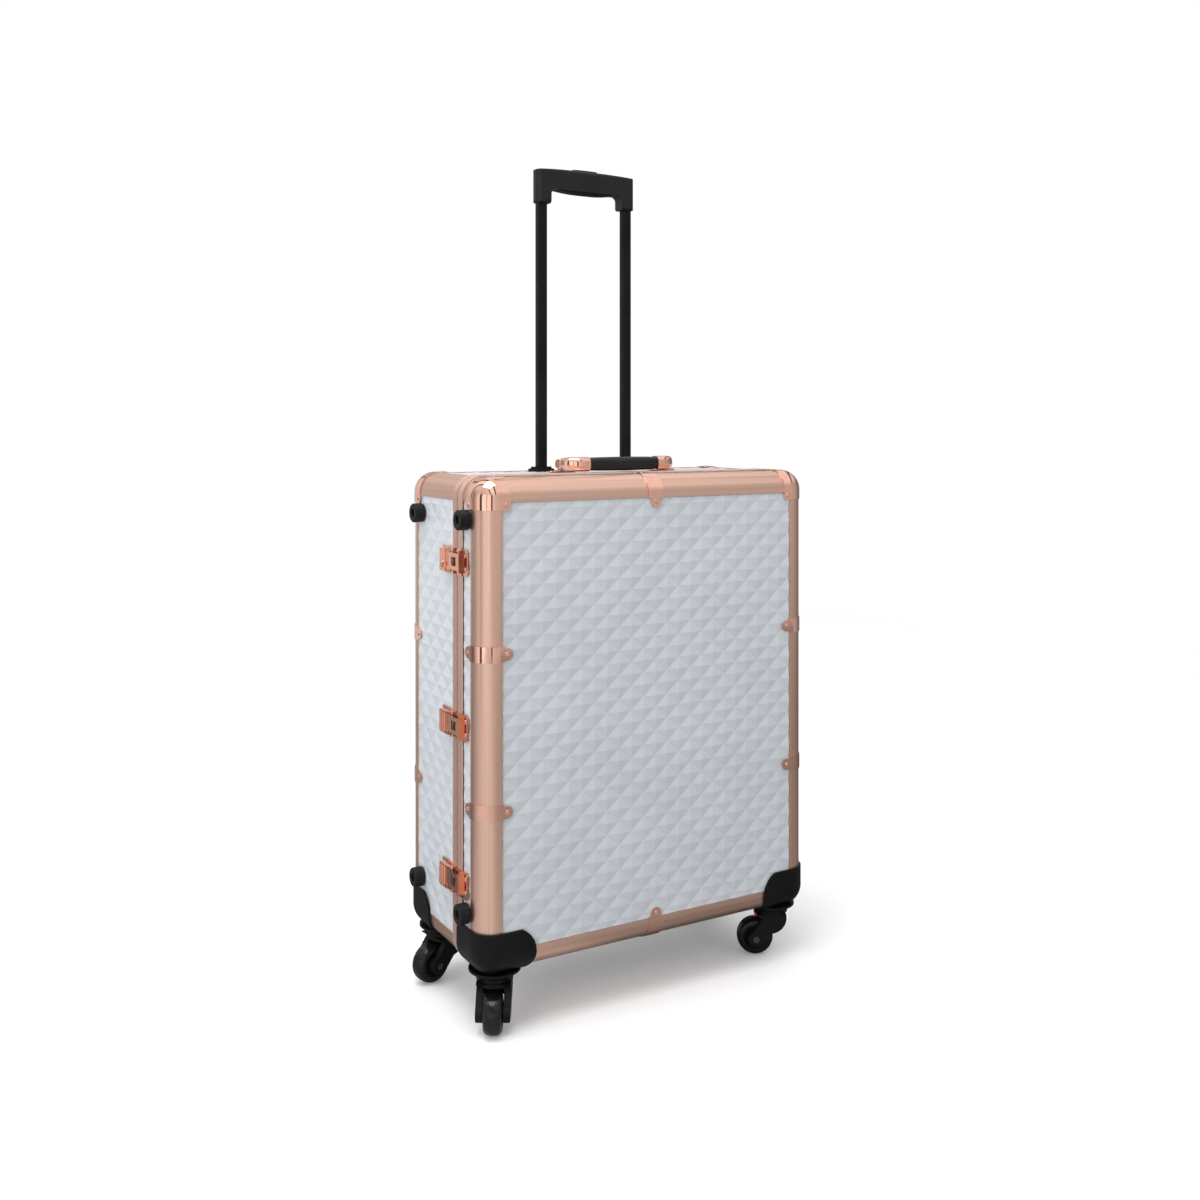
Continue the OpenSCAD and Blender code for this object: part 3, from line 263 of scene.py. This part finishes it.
def new_finish(name, colour, roughness, metallic=0.0, coat=0.0, coat_roughness=0.1):
    """A material with its node tree and its principled shader."""
    material = bpy.data.materials.new(name)
    material.use_nodes = True
    tree = material.node_tree
    shader = tree.nodes["Principled BSDF"]
    shader.inputs["Base Color"].default_value = (*colour, 1)
    shader.inputs["Roughness"].default_value = roughness
    shader.inputs["Metallic"].default_value = metallic
    shader.inputs["Coat Weight"].default_value = coat
    shader.inputs["Coat Roughness"].default_value = coat_roughness
    return material, tree, shader


def grained(name, colour, lighter, roughness, grain_scale, grain_depth, metallic=0.0, coat=0.0, shine=0.5):
    """A moulded or cast finish: fine grain in its relief, and slow changes of tone and roughness."""
    material, tree, shader = new_finish(name, colour, roughness, metallic, coat)
    shader.inputs["Specular IOR Level"].default_value = shine
    slow = object_noise(tree, scale=14, detail=3)
    fine = object_noise(tree, scale=grain_scale, detail=2)
    tree.links.new(two_tone(tree, slow, colour, lighter), shader.inputs["Base Color"])
    tree.links.new(spread(tree, slow, roughness - 0.05, roughness + 0.07), shader.inputs["Roughness"])
    relief(tree, shader, fine, strength=0.35, distance=grain_depth)
    return material


# Density of the satin lines' noise along them, against 1 across them
ALONG = 0.004


def drawn_lines(tree, scale, masks):
    """A noise drawn out along X, and where a mask is one, along that mask's own axis."""
    lines = object_noise(tree, scale, detail=3, stretch=(ALONG, 1, 1))
    for mask, stretch in masks:
        lines = chosen(tree, mask, lines, object_noise(tree, scale, 3, stretch))
    return lines


def drawn_metal(name, dark, light, gloss, upright_w, has_deep):
    """Satin rose-gold profile metal with fine lines along each length. They run along Z within upright_w of
    the left and right faces, along Y between the front and back rails where has_deep, else along X."""
    material, tree, shader = new_finish(name, light, gloss[0], metallic=1.0)
    x, y, _ = object_axes(tree)
    upright = between(tree, joined(tree, "ABSOLUTE", x), CASE_W / 2 - upright_w, 1)
    masks = [(upright, (1, 1, ALONG))]
    if has_deep:
        masks.append((between(tree, y, FRONT + RAIL_W, BACK - RAIL_W), (1, ALONG, 1)))
    fine = drawn_lines(tree, scale=900, masks=masks)
    broad = drawn_lines(tree, scale=150, masks=masks)
    tree.links.new(two_tone(tree, broad, dark, light), shader.inputs["Base Color"])
    tree.links.new(spread(tree, fine, *gloss), shader.inputs["Roughness"])
    relief(tree, shader, fine, strength=0.25, distance=0.00006)
    return material


def plated_metal(name, colour, roughness):
    """Polished plating: a slightly uneven surface with faint clouds in its gloss."""
    material, tree, shader = new_finish(name, colour, roughness, metallic=1.0)
    slow = object_noise(tree, scale=60, detail=2)
    fine = object_noise(tree, scale=700, detail=3)
    dark = tuple(c * 0.93 for c in colour)
    tree.links.new(two_tone(tree, slow, dark, colour), shader.inputs["Base Color"])
    tree.links.new(spread(tree, fine, roughness * 0.6, roughness * 1.7), shader.inputs["Roughness"])
    relief(tree, shader, slow, strength=0.12, distance=0.0004)
    return material


def embossed_sheet():
    """White half-gloss sheet over the pyramids: a faint cool tone that changes slowly, and a fine pebble."""
    cool = (0.625, 0.66, 0.705)
    pale = (0.66, 0.695, 0.74)
    material, tree, shader = new_finish(
        "embossed_white_sheet", (0.62, 0.66, 0.71), 0.30, coat=0.25, coat_roughness=0.12)
    slow = object_noise(tree, scale=9, detail=3)
    pebble = object_noise(tree, scale=1400, detail=2)
    tree.links.new(two_tone(tree, slow, cool, pale), shader.inputs["Base Color"])
    tree.links.new(spread(tree, slow, 0.27, 0.36), shader.inputs["Roughness"])
    relief(tree, shader, pebble, strength=0.15, distance=0.00005)
    return material


def plywood():
    """Raw board: soft grain lines that run upwards."""
    dark = (0.33, 0.23, 0.14)
    light = (0.50, 0.38, 0.26)
    material, tree, shader = new_finish("board_plywood", (0.42, 0.31, 0.20), 0.75)
    lines = object_noise(tree, scale=260, detail=4, stretch=(1, 1, 0.03))
    tree.links.new(two_tone(tree, lines, dark, light), shader.inputs["Base Color"])
    relief(tree, shader, lines, strength=0.3, distance=0.0002)
    return material


def lining_cloth():
    """Dark short-pile cloth with a soft sheen and a fine uneven nap."""
    dark = (0.02, 0.02, 0.022)
    light = (0.055, 0.055, 0.06)
    material, tree, shader = new_finish("lining_cloth", (0.03, 0.03, 0.033), 0.9)
    shader.inputs["Sheen Weight"].default_value = 0.5
    shader.inputs["Sheen Roughness"].default_value = 0.5
    nap = object_noise(tree, scale=900, detail=4)
    tree.links.new(two_tone(tree, nap, dark, light), shader.inputs["Base Color"])
    relief(tree, shader, nap, strength=0.5, distance=0.0005)
    return material


def silvered_glass():
    """A mirror with a trace of waviness."""
    material, tree, shader = new_finish("silvered_glass", (0.86, 0.89, 0.91), 0.03, metallic=1.0, coat=1.0)
    slow = object_noise(tree, scale=5, detail=1)
    tree.links.new(spread(tree, slow, 0.02, 0.05), shader.inputs["Roughness"])
    relief(tree, shader, slow, strength=0.02, distance=0.001)
    return material


sheet_white = embossed_sheet()
rail_satin = drawn_metal(
    "rail_satin_rose", (0.70, 0.435, 0.34), (0.85, 0.56, 0.445), gloss=(0.29, 0.41), upright_w=0.030,
    has_deep=True)
strip_satin = drawn_metal(
    "strip_satin_rose", (0.83, 0.57, 0.47), (0.93, 0.67, 0.56), gloss=(0.42, 0.52), upright_w=STRIP_W,
    has_deep=False)
plated = plated_metal("plated_rose", (0.87, 0.51, 0.395), roughness=0.06)
latch_plated = plated_metal("plated_copper_rose", (0.88, 0.45, 0.31), roughness=0.07)
bracket_black = grained(
    "bracket_moulded_black", (0.004, 0.0042, 0.004), (0.008, 0.0082, 0.008),
    roughness=0.42, grain_scale=1500, grain_depth=0.00008, shine=0.15)
grip_black = grained(
    "grip_moulded_black", (0.006, 0.0065, 0.007), (0.011, 0.0115, 0.012),
    roughness=0.40, grain_scale=1300, grain_depth=0.00008, shine=0.30)
foot_black = grained(
    "foot_rubber_black", (0.005, 0.005, 0.0055), (0.009, 0.009, 0.0095),
    roughness=0.55, grain_scale=1100, grain_depth=0.0001, shine=0.25)
wheel_black = grained(
    "wheel_tread_black", (0.005, 0.0055, 0.0045), (0.009, 0.0095, 0.008),
    roughness=0.16, grain_scale=900, grain_depth=0.00003, shine=0.3)
tube_black = grained(
    "tube_anodised_black", (0.004, 0.0043, 0.005), (0.008, 0.0083, 0.009),
    roughness=0.30, grain_scale=1200, grain_depth=0.00004, shine=0.14)
shelf_grey = grained(
    "shelf_moulded_grey", (0.03, 0.03, 0.033), (0.05, 0.05, 0.055),
    roughness=0.5, grain_scale=1000, grain_depth=0.0001)
steel = grained(
    "steel_brushed", (0.55, 0.55, 0.57), (0.66, 0.66, 0.68),
    roughness=0.30, grain_scale=800, grain_depth=0.00003, metallic=1.0)
steel_dark = grained(
    "steel_blackened", (0.09, 0.09, 0.095), (0.14, 0.14, 0.145),
    roughness=0.22, grain_scale=800, grain_depth=0.00003, metallic=1.0)
brake_red = grained(
    "brake_moulded_red", (0.55, 0.02, 0.03), (0.68, 0.04, 0.05),
    roughness=0.35, grain_scale=1000, grain_depth=0.00005, coat=0.3)
board = plywood()
lining = lining_cloth()
mirror = silvered_glass()

# Finishes of the part's own pieces: by their slots, and by their names where they differ from their slot
BY_SLOT = {
    "board": board, "skin": sheet_white, "rail": rail_satin, "fitting": plated, "plastic": bracket_black,
    "rubber": foot_black, "tyre": wheel_black, "tube": tube_black, "lining": lining, "steel": steel,
    "mirror": mirror, "brake": brake_red,
}
BY_NODE = {
    "lid_rim": strip_satin, "base_rim": strip_satin, "base_shelves": shelf_grey, "sleeve_cover": shelf_grey,
    "tow_grip": grip_black, "release_button": tube_black, "tow_palm_insert": foot_black,
    "carry_grip": grip_black,
}
for corner in CASTER_TURN:
    BY_NODE["caster_axle_" + corner] = steel_dark
for latch_piece in ("catches", "bases", "lever_1", "lever_2", "lever_3", "claw_1", "claw_2", "claw_3"):
    BY_NODE["latch_" + latch_piece] = latch_plated
slot_of = {s["node"]: s["material_slot"] for s in frame["record"]["subparts"]}
for node, piece in frame["nodes"].items():
    piece.data.materials.clear()
    piece.data.materials.append(BY_NODE.get(node, BY_SLOT[slot_of[node]]))


# Screws on the bands, caps, latches, hinges and handle brackets

# Distances of the screws in the bands' and caps' tabs from the case's edges, and of the tabs' faces beyond it
BAND_SCREW = 0.038
CAP_SCREW = 0.036
TAB_OUT = 0.0013
# Distance of the latches' and hinges' faces beyond the case's sides
PLATE_OUT = 0.0016
# Height of the carry brackets over the top, and the distance of their screws from the pins
BRACKET_OUT = 0.0021
BRACKET_SCREW = 0.016


def from_corner(sx, sy, sz, x, y, z):
    """A point given by its distances from the corner of the case with these signs."""
    return (
        sx * (CASE_W / 2 - x),
        sy * (CASE_D / 2 - y),
        TOP - z if sz > 0 else BOTTOM + z,
    )


def tab_screws(sy):
    """Places of the screws in the bands' and caps' tabs of the front shell (-1) or the rear shell (1)."""
    ahead = (0, sy, 0)
    places = []
    for sx in (-1, 1):
        aside = (sx, 0, 0)
        for z in BAND_Z:
            places.append((from_corner(sx, sy, -1, BAND_SCREW, -TAB_OUT, z), ahead, z * 9))
            places.append((from_corner(sx, sy, -1, -TAB_OUT, BAND_SCREW, z), aside, z * 7))
        places.append((from_corner(sx, sy, 1, CAP_SCREW, -TAB_OUT, CAP_SCREW), ahead, 0.4 * sx))
        places.append((from_corner(sx, sy, 1, -TAB_OUT, CAP_SCREW, CAP_SCREW), aside, 0.9 * sx))
        places.append((from_corner(sx, sy, 1, CAP_SCREW, CAP_SCREW, -TAB_OUT), (0, 0, 1), 0.2 * sx))
    for sz in (-1, 1):
        places.append((from_corner(1, sy, sz, CASE_W / 2, -TAB_OUT, BAND_SCREW), ahead, 0.3))
        places.append((from_corner(1, sy, sz, CASE_W / 2, BAND_SCREW, -TAB_OUT), (0, 0, sz), 0.7))
    return places


def plate_screws(side, behind_split, from_middle, twist):
    """Places of the two screws in each plate of the latches (side -1) or leaf of the hinges (1)."""
    x = side * (CASE_W / 2 + PLATE_OUT)
    y = SPLIT + behind_split
    return [
        ((x, y, BOTTOM + z + s * from_middle), (side, 0, 0), twist * s)
        for z in LATCH_Z for s in (-1, 1)
    ]


tab_head = screw_head(radius=0.0031, height=0.0011, reach=0.55)
catch_screws = plate_screws(-1, behind_split=-0.0265, from_middle=0.009, twist=0.5)
latch_screws = plate_screws(-1, behind_split=0.0455, from_middle=0.011, twist=0.8)
lid_hinge_screws = plate_screws(1, behind_split=-0.027, from_middle=0.011, twist=0.3)
base_hinge_screws = plate_screws(1, behind_split=0.027, from_middle=0.011, twist=0.6)
carry_screws = [
    ((s * CARRY_PIN[0] + t * BRACKET_SCREW, CARRY_PIN[1], TOP + BRACKET_OUT), (0, 0, 1), 0.5 * t)
    for s in (-1, 1) for t in (-1, 1)
]
scattered("lid_tab_screws", tab_head, tab_screws(-1), "lid", "fitting", plated)
scattered("base_tab_screws", tab_head, tab_screws(1), "base", "fitting", plated)
scattered("lid_side_screws", tab_head, catch_screws + lid_hinge_screws, "lid", "fitting", plated)
scattered("base_side_screws", tab_head, latch_screws + base_hinge_screws, "base", "fitting", plated)
scattered("carry_bracket_screws", tab_head, carry_screws, "base", "fitting", plated)


# Feet: a washer and a screw down each hollow

WASHER_T = 0.0006


def foot_places(node):
    """Places near the floor of the hollow in each of a shell's two feet, which look to the left."""
    low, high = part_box(node)
    half = (high.y - low.y) / 2
    x = low.x + FOOT_L * HOLLOW_SHARE
    return [((x, low.y + half, z), (-1, 0, 0), z * 3) for z in (low.z + half, high.z - half)]


# Rows of (radius, height) of a washer with a raised rim
washer = turned_shape(np.array([
    (0.0056, 0.0), (0.0056, 0.0006), (0.0053, 0.0009),
    (0.0036, 0.0009), (0.0032, WASHER_T), (0.0002, WASHER_T),
]), spokes=48)
foot_screw = screw_head(radius=0.0036, height=0.0022, reach=0.6)
for body in ("lid", "base"):
    places = foot_places(body + "_feet")
    raised = [((x - WASHER_T, y, z), normal, twist) for (x, y, z), normal, twist in places]
    scattered(body + "_foot_washers", washer, places, body, "steel", steel)
    scattered(body + "_foot_screws", foot_screw, raised, body, "steel", steel)


# Wheels

def ring_profile(half):
    """The closed profile of a ring in metres, from rows of (radius, place along the axle) of one half in mm:
    their mirror image, the rows off the middle, and the first row again."""
    half = np.array(half) / 1000
    other = half[::-1] * np.array([1, -1])
    return np.concatenate([other, half[half[:, 1] > 0], other[:1]])


def tyre_rows():
    """Rows of half a tyre in mm. For a from 0 in its middle to 1 at its edge, the tread is the curve
    a^3 + ((r - shoulder) / crown)^2.4 = 1, less a groove whose depth falls off as
    exp(-((a - 0.42) / 0.035)^2). Four rows lead over the side to the inner wall."""
    shoulder = 18.5
    crown = 8.5
    edge = 12.6
    groove_depth = 0.35
    a = np.linspace(0, 1, 40)
    r = shoulder + crown * (1 - a ** 3) ** (1 / 2.4)
    groove = groove_depth * np.exp(-(((a - 0.42) / 0.035) ** 2))
    tread = np.stack([r - groove, a * edge], -1)
    side = np.array([[18.0, edge], [17.6, 12.3], [17.4, 11.6], [17.4, 8.0]])
    return np.concatenate([tread, side])


def wheel_piece(name, profile, corner, slot, material):
    """A body of revolution round a caster's axle, in the place of its CAD wheel."""
    spokes = 72
    low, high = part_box("caster_wheel_" + corner)
    middle = (np.array(low) + np.array(high)) / 2
    turn = math.radians(CASTER_TURN[corner])
    axle = (-math.sin(turn), math.cos(turn), 0)
    shape = turned_shape(profile, spokes)
    return scattered(name, shape, [(middle, axle, 0)], "wheel_" + corner, slot, material)


tyre = ring_profile(tyre_rows())
# A rounded rim, a dished web and a boss
hub = ring_profile([
    (17.4, 8.0), (17.4, 11.4), (17.1, 11.9), (16.5, 12.1), (15.9, 11.8), (15.4, 10.9), (14.6, 9.9),
    (12.5, 9.2), (10.4, 9.3), (9.0, 9.9), (8.2, 11.0), (7.8, 12.2), (7.3, 12.7), (6.6, 12.9), (3.1, 12.9),
])
for corner in CASTER_TURN:
    ring = wheel_piece("tyre_" + corner, tyre, corner, "tyre", wheel_black)
    wheel_piece("hub_" + corner, hub, corner, "plastic", bracket_black)
    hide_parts("caster_wheel_" + corner)


# The carry handle's grip

def grip_loft(low, high):
    """A moulded grip in a box, with sections |y / b|^2.6 + |z / c|^2.6 = 1 along X. For t from -1 to 1 along
    it, b and c are the box's half sizes times (1 - t^14)^(1/2) (0.93 + 0.07 cos(t pi / 2)). The sections are
    up to 1.2 % narrower at the parting line along each side."""
    rows = 61
    columns = 64
    low = np.array(low)
    high = np.array(high)
    middle = (low + high) / 2
    half = (high - low) / 2
    t = np.sin(np.linspace(-math.pi / 2, math.pi / 2, rows))[:, None]
    angle = np.linspace(0, 2 * math.pi, columns, endpoint=False)[None, :]
    size = np.sqrt(1 - t ** 14) * (0.93 + 0.07 * np.cos(t * math.pi / 2))
    seam = 1 - 0.012 * np.exp(-((np.sin(angle) / 0.05) ** 2))
    u, v = oval(angle, 2.6)
    x = half[0] * t * np.ones_like(angle)
    y = half[1] * size * u * seam
    z = half[2] * size * v
    points = np.stack([middle[0] + x, middle[1] + y, middle[2] + z], -1)
    return points.reshape(-1, 3), grid_faces(rows, columns)


grip = mesh_piece(
    "carry_grip_cover", *grip_loft(*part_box("carry_grip")), "carry_handle", "plastic", grip_black)
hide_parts("carry_grip")


# The carry handle's plated ends

# Distance of each cheek's middle from the middle of its bracket
CHEEK_OUT = 0.00505


def arm_loft(side):
    """A plated arm on the left (-1) or right (1): sections |n / b|^3 + |z / c|^3 = 1 square to a path. In mm
    from the handle's middle and the line of its pins, the path leaves the grip along X and turns a quarter of
    an ellipse, (bend_x + reach_x sin u, bend_y - reach_y cos u), to the pin. With v = u / (pi / 2), b is
    12.5 - 5.7 v^1.5 and c is 10.5 - 2.1 v^3, and they shrink to close the mouth and the tail."""
    columns = 40
    mouth_x = 57.5
    mouth_depth = 0.5
    bend_x = 66.0
    bend_y = -8.0
    reach_x = 20.0
    reach_y = 18.0
    mouth = [0.02, 0.6, 0.94, 0.985]
    tail = [0.985, 0.94, 0.84, 0.66, 0.4, 0.02]
    past_pin = np.array([0.5, 1.0, 1.5, 1.9, 2.0, 2.0])
    u = np.linspace(0, math.pi / 2, 29)[1:]
    straight_x = np.linspace(mouth_x, bend_x, 8)
    straight_x[0] += mouth_depth
    straight_x = np.concatenate([np.full(len(mouth), mouth_x), straight_x])
    turn_x = bend_x + reach_x * np.sin(u)
    turn_y = bend_y - reach_y * np.cos(u)
    x = np.concatenate([straight_x, turn_x, np.full(len(tail), turn_x[-1])])
    y = np.concatenate([np.full(len(straight_x), bend_y - reach_y), turn_y, turn_y[-1] + past_pin])
    heading = np.concatenate([np.zeros(len(straight_x)), u, np.full(len(tail), math.pi / 2)])
    share = np.concatenate([mouth, np.ones(len(x) - len(mouth) - len(tail)), tail])
    v = heading / (math.pi / 2)
    b = (12.5 - 5.7 * v ** 1.5) * share
    c = (10.5 - 2.1 * v ** 3) * share
    across, up = oval(np.linspace(0, 2 * math.pi, columns, endpoint=False)[None, :], 3)
    n = b[:, None] * across
    z = c[:, None] * up
    out_x = x[:, None] + n * np.sin(heading)[:, None]
    out_y = y[:, None] - n * np.cos(heading)[:, None]
    points = np.stack([side * out_x / 1000, CARRY_PIN[1] + out_y / 1000, CARRY_PIN[2] + z / 1000], -1)
    faces = grid_faces(len(x), columns)
    return points.reshape(-1, 3), faces if side > 0 else faces[:, ::-1]


def cheek_rings(middle_x):
    """A flat eye round the pin, with a stub towards the grip. For w from 0 at the pin's hole to 1 at the
    outline, its half thickness is 1.75 (1 - w^10)^(1/2) in mm. The outline is a circle of the eye's radius,
    and on the grip's side the lesser of stub / |cos| and eye / |sin| of the ray's angle."""
    columns = 48
    hole = 2.06
    eye = 7.0
    stub = 8.2
    least = 1e-6
    angle = np.linspace(0, 2 * math.pi, columns, endpoint=False)
    c, s = np.cos(angle), np.sin(angle)
    to_stub = np.minimum(stub / np.maximum(-c, least), eye / np.maximum(np.abs(s), least))
    outline = np.where(c < 0, to_stub, eye)
    w = np.concatenate([np.linspace(0, 0.8, 5), [0.9, 0.95, 0.98, 1.0]])
    half = 1.75 * np.sqrt(1 - w ** 10)
    w = np.concatenate([w, w[-2::-1], w[:1]])
    half = np.concatenate([half, -half[-2::-1], half[:1]])
    r = hole + (outline[None, :] - hole) * w[:, None]
    points = np.stack([
        middle_x + half[:, None] / 1000 * np.ones_like(r),
        CARRY_PIN[1] + r * c / 1000,
        CARRY_PIN[2] + r * s / 1000,
    ], -1)
    return points.reshape(-1, 3), grid_faces(len(w), columns)


arm_shapes = []
for side in (-1, 1):
    arm_shapes.append(arm_loft(side))
    arm_shapes += [cheek_rings(side * CARRY_PIN[0] + s * CHEEK_OUT) for s in (-1, 1)]
arms = mesh_piece("carry_plated_ends", *merged(arm_shapes), "carry_handle", "fitting", plated)
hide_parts("carry_ends")


# Floor, lights and camera

# Brightness of the studio's walls, by share of a turn: 0 to the back, 0.25 right, 0.5 front, 0.75 left
WALLS = [
    (0.0, 0.55), (0.228, 0.20), (0.311, 0.48), (0.422, 0.66), (0.5, 0.75), (0.545, 0.95), (0.55, 0.10),
    (0.568, 0.10), (0.573, 1.20), (0.626, 1.30), (0.630, 0.15), (0.635, 0.15), (0.639, 1.40), (0.70, 1.35),
    (0.705, 0.10), (0.738, 0.10), (0.743, 1.25), (0.775, 0.95), (0.83, 0.45), (0.87, 0.25), (0.905, 0.70),
    (0.91, 0.15), (0.921, 0.15), (0.926, 0.65), (0.95, 0.90), (1.0, 0.55),
]
# The brightness up to which a stop of the walls belongs to a narrow dark gap
GAP = 0.15
# Brightness of the studio's ceiling, from the left side to the right
CEILING = [
    (0.0, 0.80), (0.27, 0.95), (0.275, 0.12), (0.315, 0.12), (0.32, 1.35), (0.47, 1.20), (0.475, 0.15),
    (0.53, 0.15), (0.535, 1.00), (0.82, 1.05), (0.825, 0.20), (0.87, 0.20), (0.875, 0.95), (1.0, 0.90),
]
# Share of its brightness that the studio keeps below the paper's edge
BELOW = 0.12
# Heights of a direction, as its Z: where the walls are gone and whole, where the ceiling starts and is whole,
# and where the room below is at its darkest and ends
WALLS_Z = (0.52, 0.28)
CEILING_Z = (0.28, 0.55)
ROOM_Z = (-0.40, -0.18)

# Tones of the floor: in reflections a share of the walls' brightness, painted light laid on the floor by
# direction round the case; and in what it throws back at the case
FLOOR_MIRRORED = 0.40
FLOOR_BOUNCE = 0.26
# Half the width of the paper, and the light that it gives off to the camera
PAPER_HALF = 2.6
PAPER_GLOW = 0.08

# The camera, fitted to the photograph's edges, with lengths in the photograph's pixels
PHOTO_SIZE = 1200
FOCAL = 1255.09
HORIZON_ROW = 422.85
EYE = (-0.9446, -1.6022, 0.801)
EYE_TURN = -30.03
SENSOR = 36


def turn_share(tree, x, y):
    """Where a level vector points, as a share of a turn: 0 to the back, 0.25 right, 0.5 front, 0.75 left."""
    angle = joined(tree, "ARCTAN2", joined(tree, "MULTIPLY", x, -1), joined(tree, "MULTIPLY", y, -1))
    return joined(tree, "MULTIPLY_ADD", angle, 1 / (2 * math.pi), 0.5)


def floor_material():
    """Plain pale paper: near white to the camera, and greyer in what it throws back at the case. Reflections
    see painted light on it: the walls' own changes of brightness by direction round the case, without the
    gaps."""
    material, tree, shader = new_finish("pale_floor", (0.92, 0.92, 0.92), 0.7)
    ray = tree.nodes.new("ShaderNodeLightPath").outputs
    x, y, _ = object_axes(tree)
    # Painted light: in reflections the floor's colour follows the walls' brightness by direction round the
    # case
    painted_wall_light_tones = [(share, FLOOR_MIRRORED * level) for share, level in WALLS if level > GAP]
    mirrored = ramp_of(tree, turn_share(tree, x, y), painted_wall_light_tones)
    plain = two_tone(tree, object_noise(tree, scale=0.6, detail=1), (0.96, 0.96, 0.96), (0.98, 0.98, 0.98))
    thrown = tree.nodes.new("ShaderNodeMix")
    thrown.data_type = "RGBA"
    thrown.inputs[6].default_value = (FLOOR_BOUNCE, FLOOR_BOUNCE, FLOOR_BOUNCE, 1)
    tree.links.new(ray["Is Glossy Ray"], thrown.inputs[0])
    tree.links.new(mirrored, thrown.inputs[7])
    tone = tree.nodes.new("ShaderNodeMix")
    tone.data_type = "RGBA"
    tree.links.new(ray["Is Camera Ray"], tone.inputs[0])
    tree.links.new(thrown.outputs[2], tone.inputs[6])
    tree.links.new(plain, tone.inputs[7])
    tree.links.new(tone.outputs[2], shader.inputs["Base Color"])
    glow = joined(tree, "MULTIPLY", ray["Is Camera Ray"], PAPER_GLOW)
    shader.inputs["Emission Color"].default_value = (1, 1, 1, 1)
    tree.links.new(glow, shader.inputs["Emission Strength"])
    return material


def make_floor():
    """A flat square of paper under the wheels."""
    corners = [(sx * PAPER_HALF, sy * PAPER_HALF, 0) for sx, sy in ((-1, -1), (1, -1), (1, 1), (-1, 1))]
    mesh = bpy.data.meshes.new("floor")
    mesh.from_pydata(corners, [], [(0, 1, 2, 3)])
    mesh.materials.append(floor_material())
    floor = bpy.data.objects.new("floor", mesh)
    bpy.context.scene.collection.objects.link(floor)


def make_world():
    """White to the camera. To everything else a studio: walls whose brightness changes round the case, a
    bright ceiling above them and a dark room beyond the paper, so that the round rails show their shape."""
    world = bpy.data.worlds.new("studio")
    bpy.context.scene.world = world
    world.use_nodes = True
    tree = world.node_tree
    tree.nodes.clear()
    split = tree.nodes.new("ShaderNodeSeparateXYZ")
    tree.links.new(tree.nodes.new("ShaderNodeTexCoord").outputs["Generated"], split.inputs[0])
    x, y, z = split.outputs
    tones = ramp_of(tree, turn_share(tree, x, y), WALLS)
    walls = joined(tree, "MULTIPLY", tones, spread(tree, z, 0, 1, *WALLS_Z))
    panels = ramp_of(tree, joined(tree, "MULTIPLY_ADD", x, 0.5, 0.5), CEILING)
    above = joined(tree, "MULTIPLY_ADD", spread(tree, z, 0, 1, *CEILING_Z), panels, walls)
    level = joined(tree, "MULTIPLY", above, spread(tree, z, BELOW, 1, *ROOM_Z))
    seen = tree.nodes.new("ShaderNodeBackground")
    seen.inputs["Color"].default_value = (1, 1, 1, 1)
    lit = tree.nodes.new("ShaderNodeBackground")
    tree.links.new(level, lit.inputs["Color"])
    ray = tree.nodes.new("ShaderNodeLightPath").outputs
    mix = tree.nodes.new("ShaderNodeMixShader")
    tree.links.new(ray["Is Camera Ray"], mix.inputs[0])
    tree.links.new(lit.outputs[0], mix.inputs[1])
    tree.links.new(seen.outputs[0], mix.inputs[2])
    output = tree.nodes.new("ShaderNodeOutputWorld")
    tree.links.new(mix.outputs[0], output.inputs["Surface"])


def softbox(name, place, size, power, mirrored):
    """A square lamp that looks at the middle of the case, and shows in reflections or not."""
    light = bpy.data.lights.new(name, "AREA")
    light.size = size
    light.energy = power
    lamp = bpy.data.objects.new(name, light)
    lamp.visible_glossy = mirrored
    bpy.context.scene.collection.objects.link(lamp)
    facing = Vector(place) - Vector((0, 0, MID_Z))
    lamp.matrix_world = Matrix.Translation(place) @ facing.to_track_quat("Z", "Y").to_matrix().to_4x4()


def make_camera():
    """A level camera left of the front."""
    camera = bpy.data.cameras.new("camera")
    camera.sensor_width = SENSOR
    camera.lens = SENSOR * FOCAL / PHOTO_SIZE
    camera.shift_y = -(PHOTO_SIZE / 2 - HORIZON_ROW) / PHOTO_SIZE
    camera.clip_end = 400
    eye = bpy.data.objects.new("camera", camera)
    bpy.context.scene.collection.objects.link(eye)
    eye.matrix_world = (
        Matrix.Translation(EYE)
        @ Matrix.Rotation(math.radians(EYE_TURN), 4, "Z")
        @ Matrix.Rotation(math.radians(90), 4, "X")
    )
    bpy.context.scene.camera = eye


make_floor()
make_world()
softbox("key_light", (-0.9, -0.35, 4.0), size=2.4, power=78, mirrored=True)
softbox("side_light", (-3.4, -1.3, 1.1), size=3.0, power=55, mirrored=False)
make_camera()
bpy.context.scene.view_settings.view_transform = "Standard"
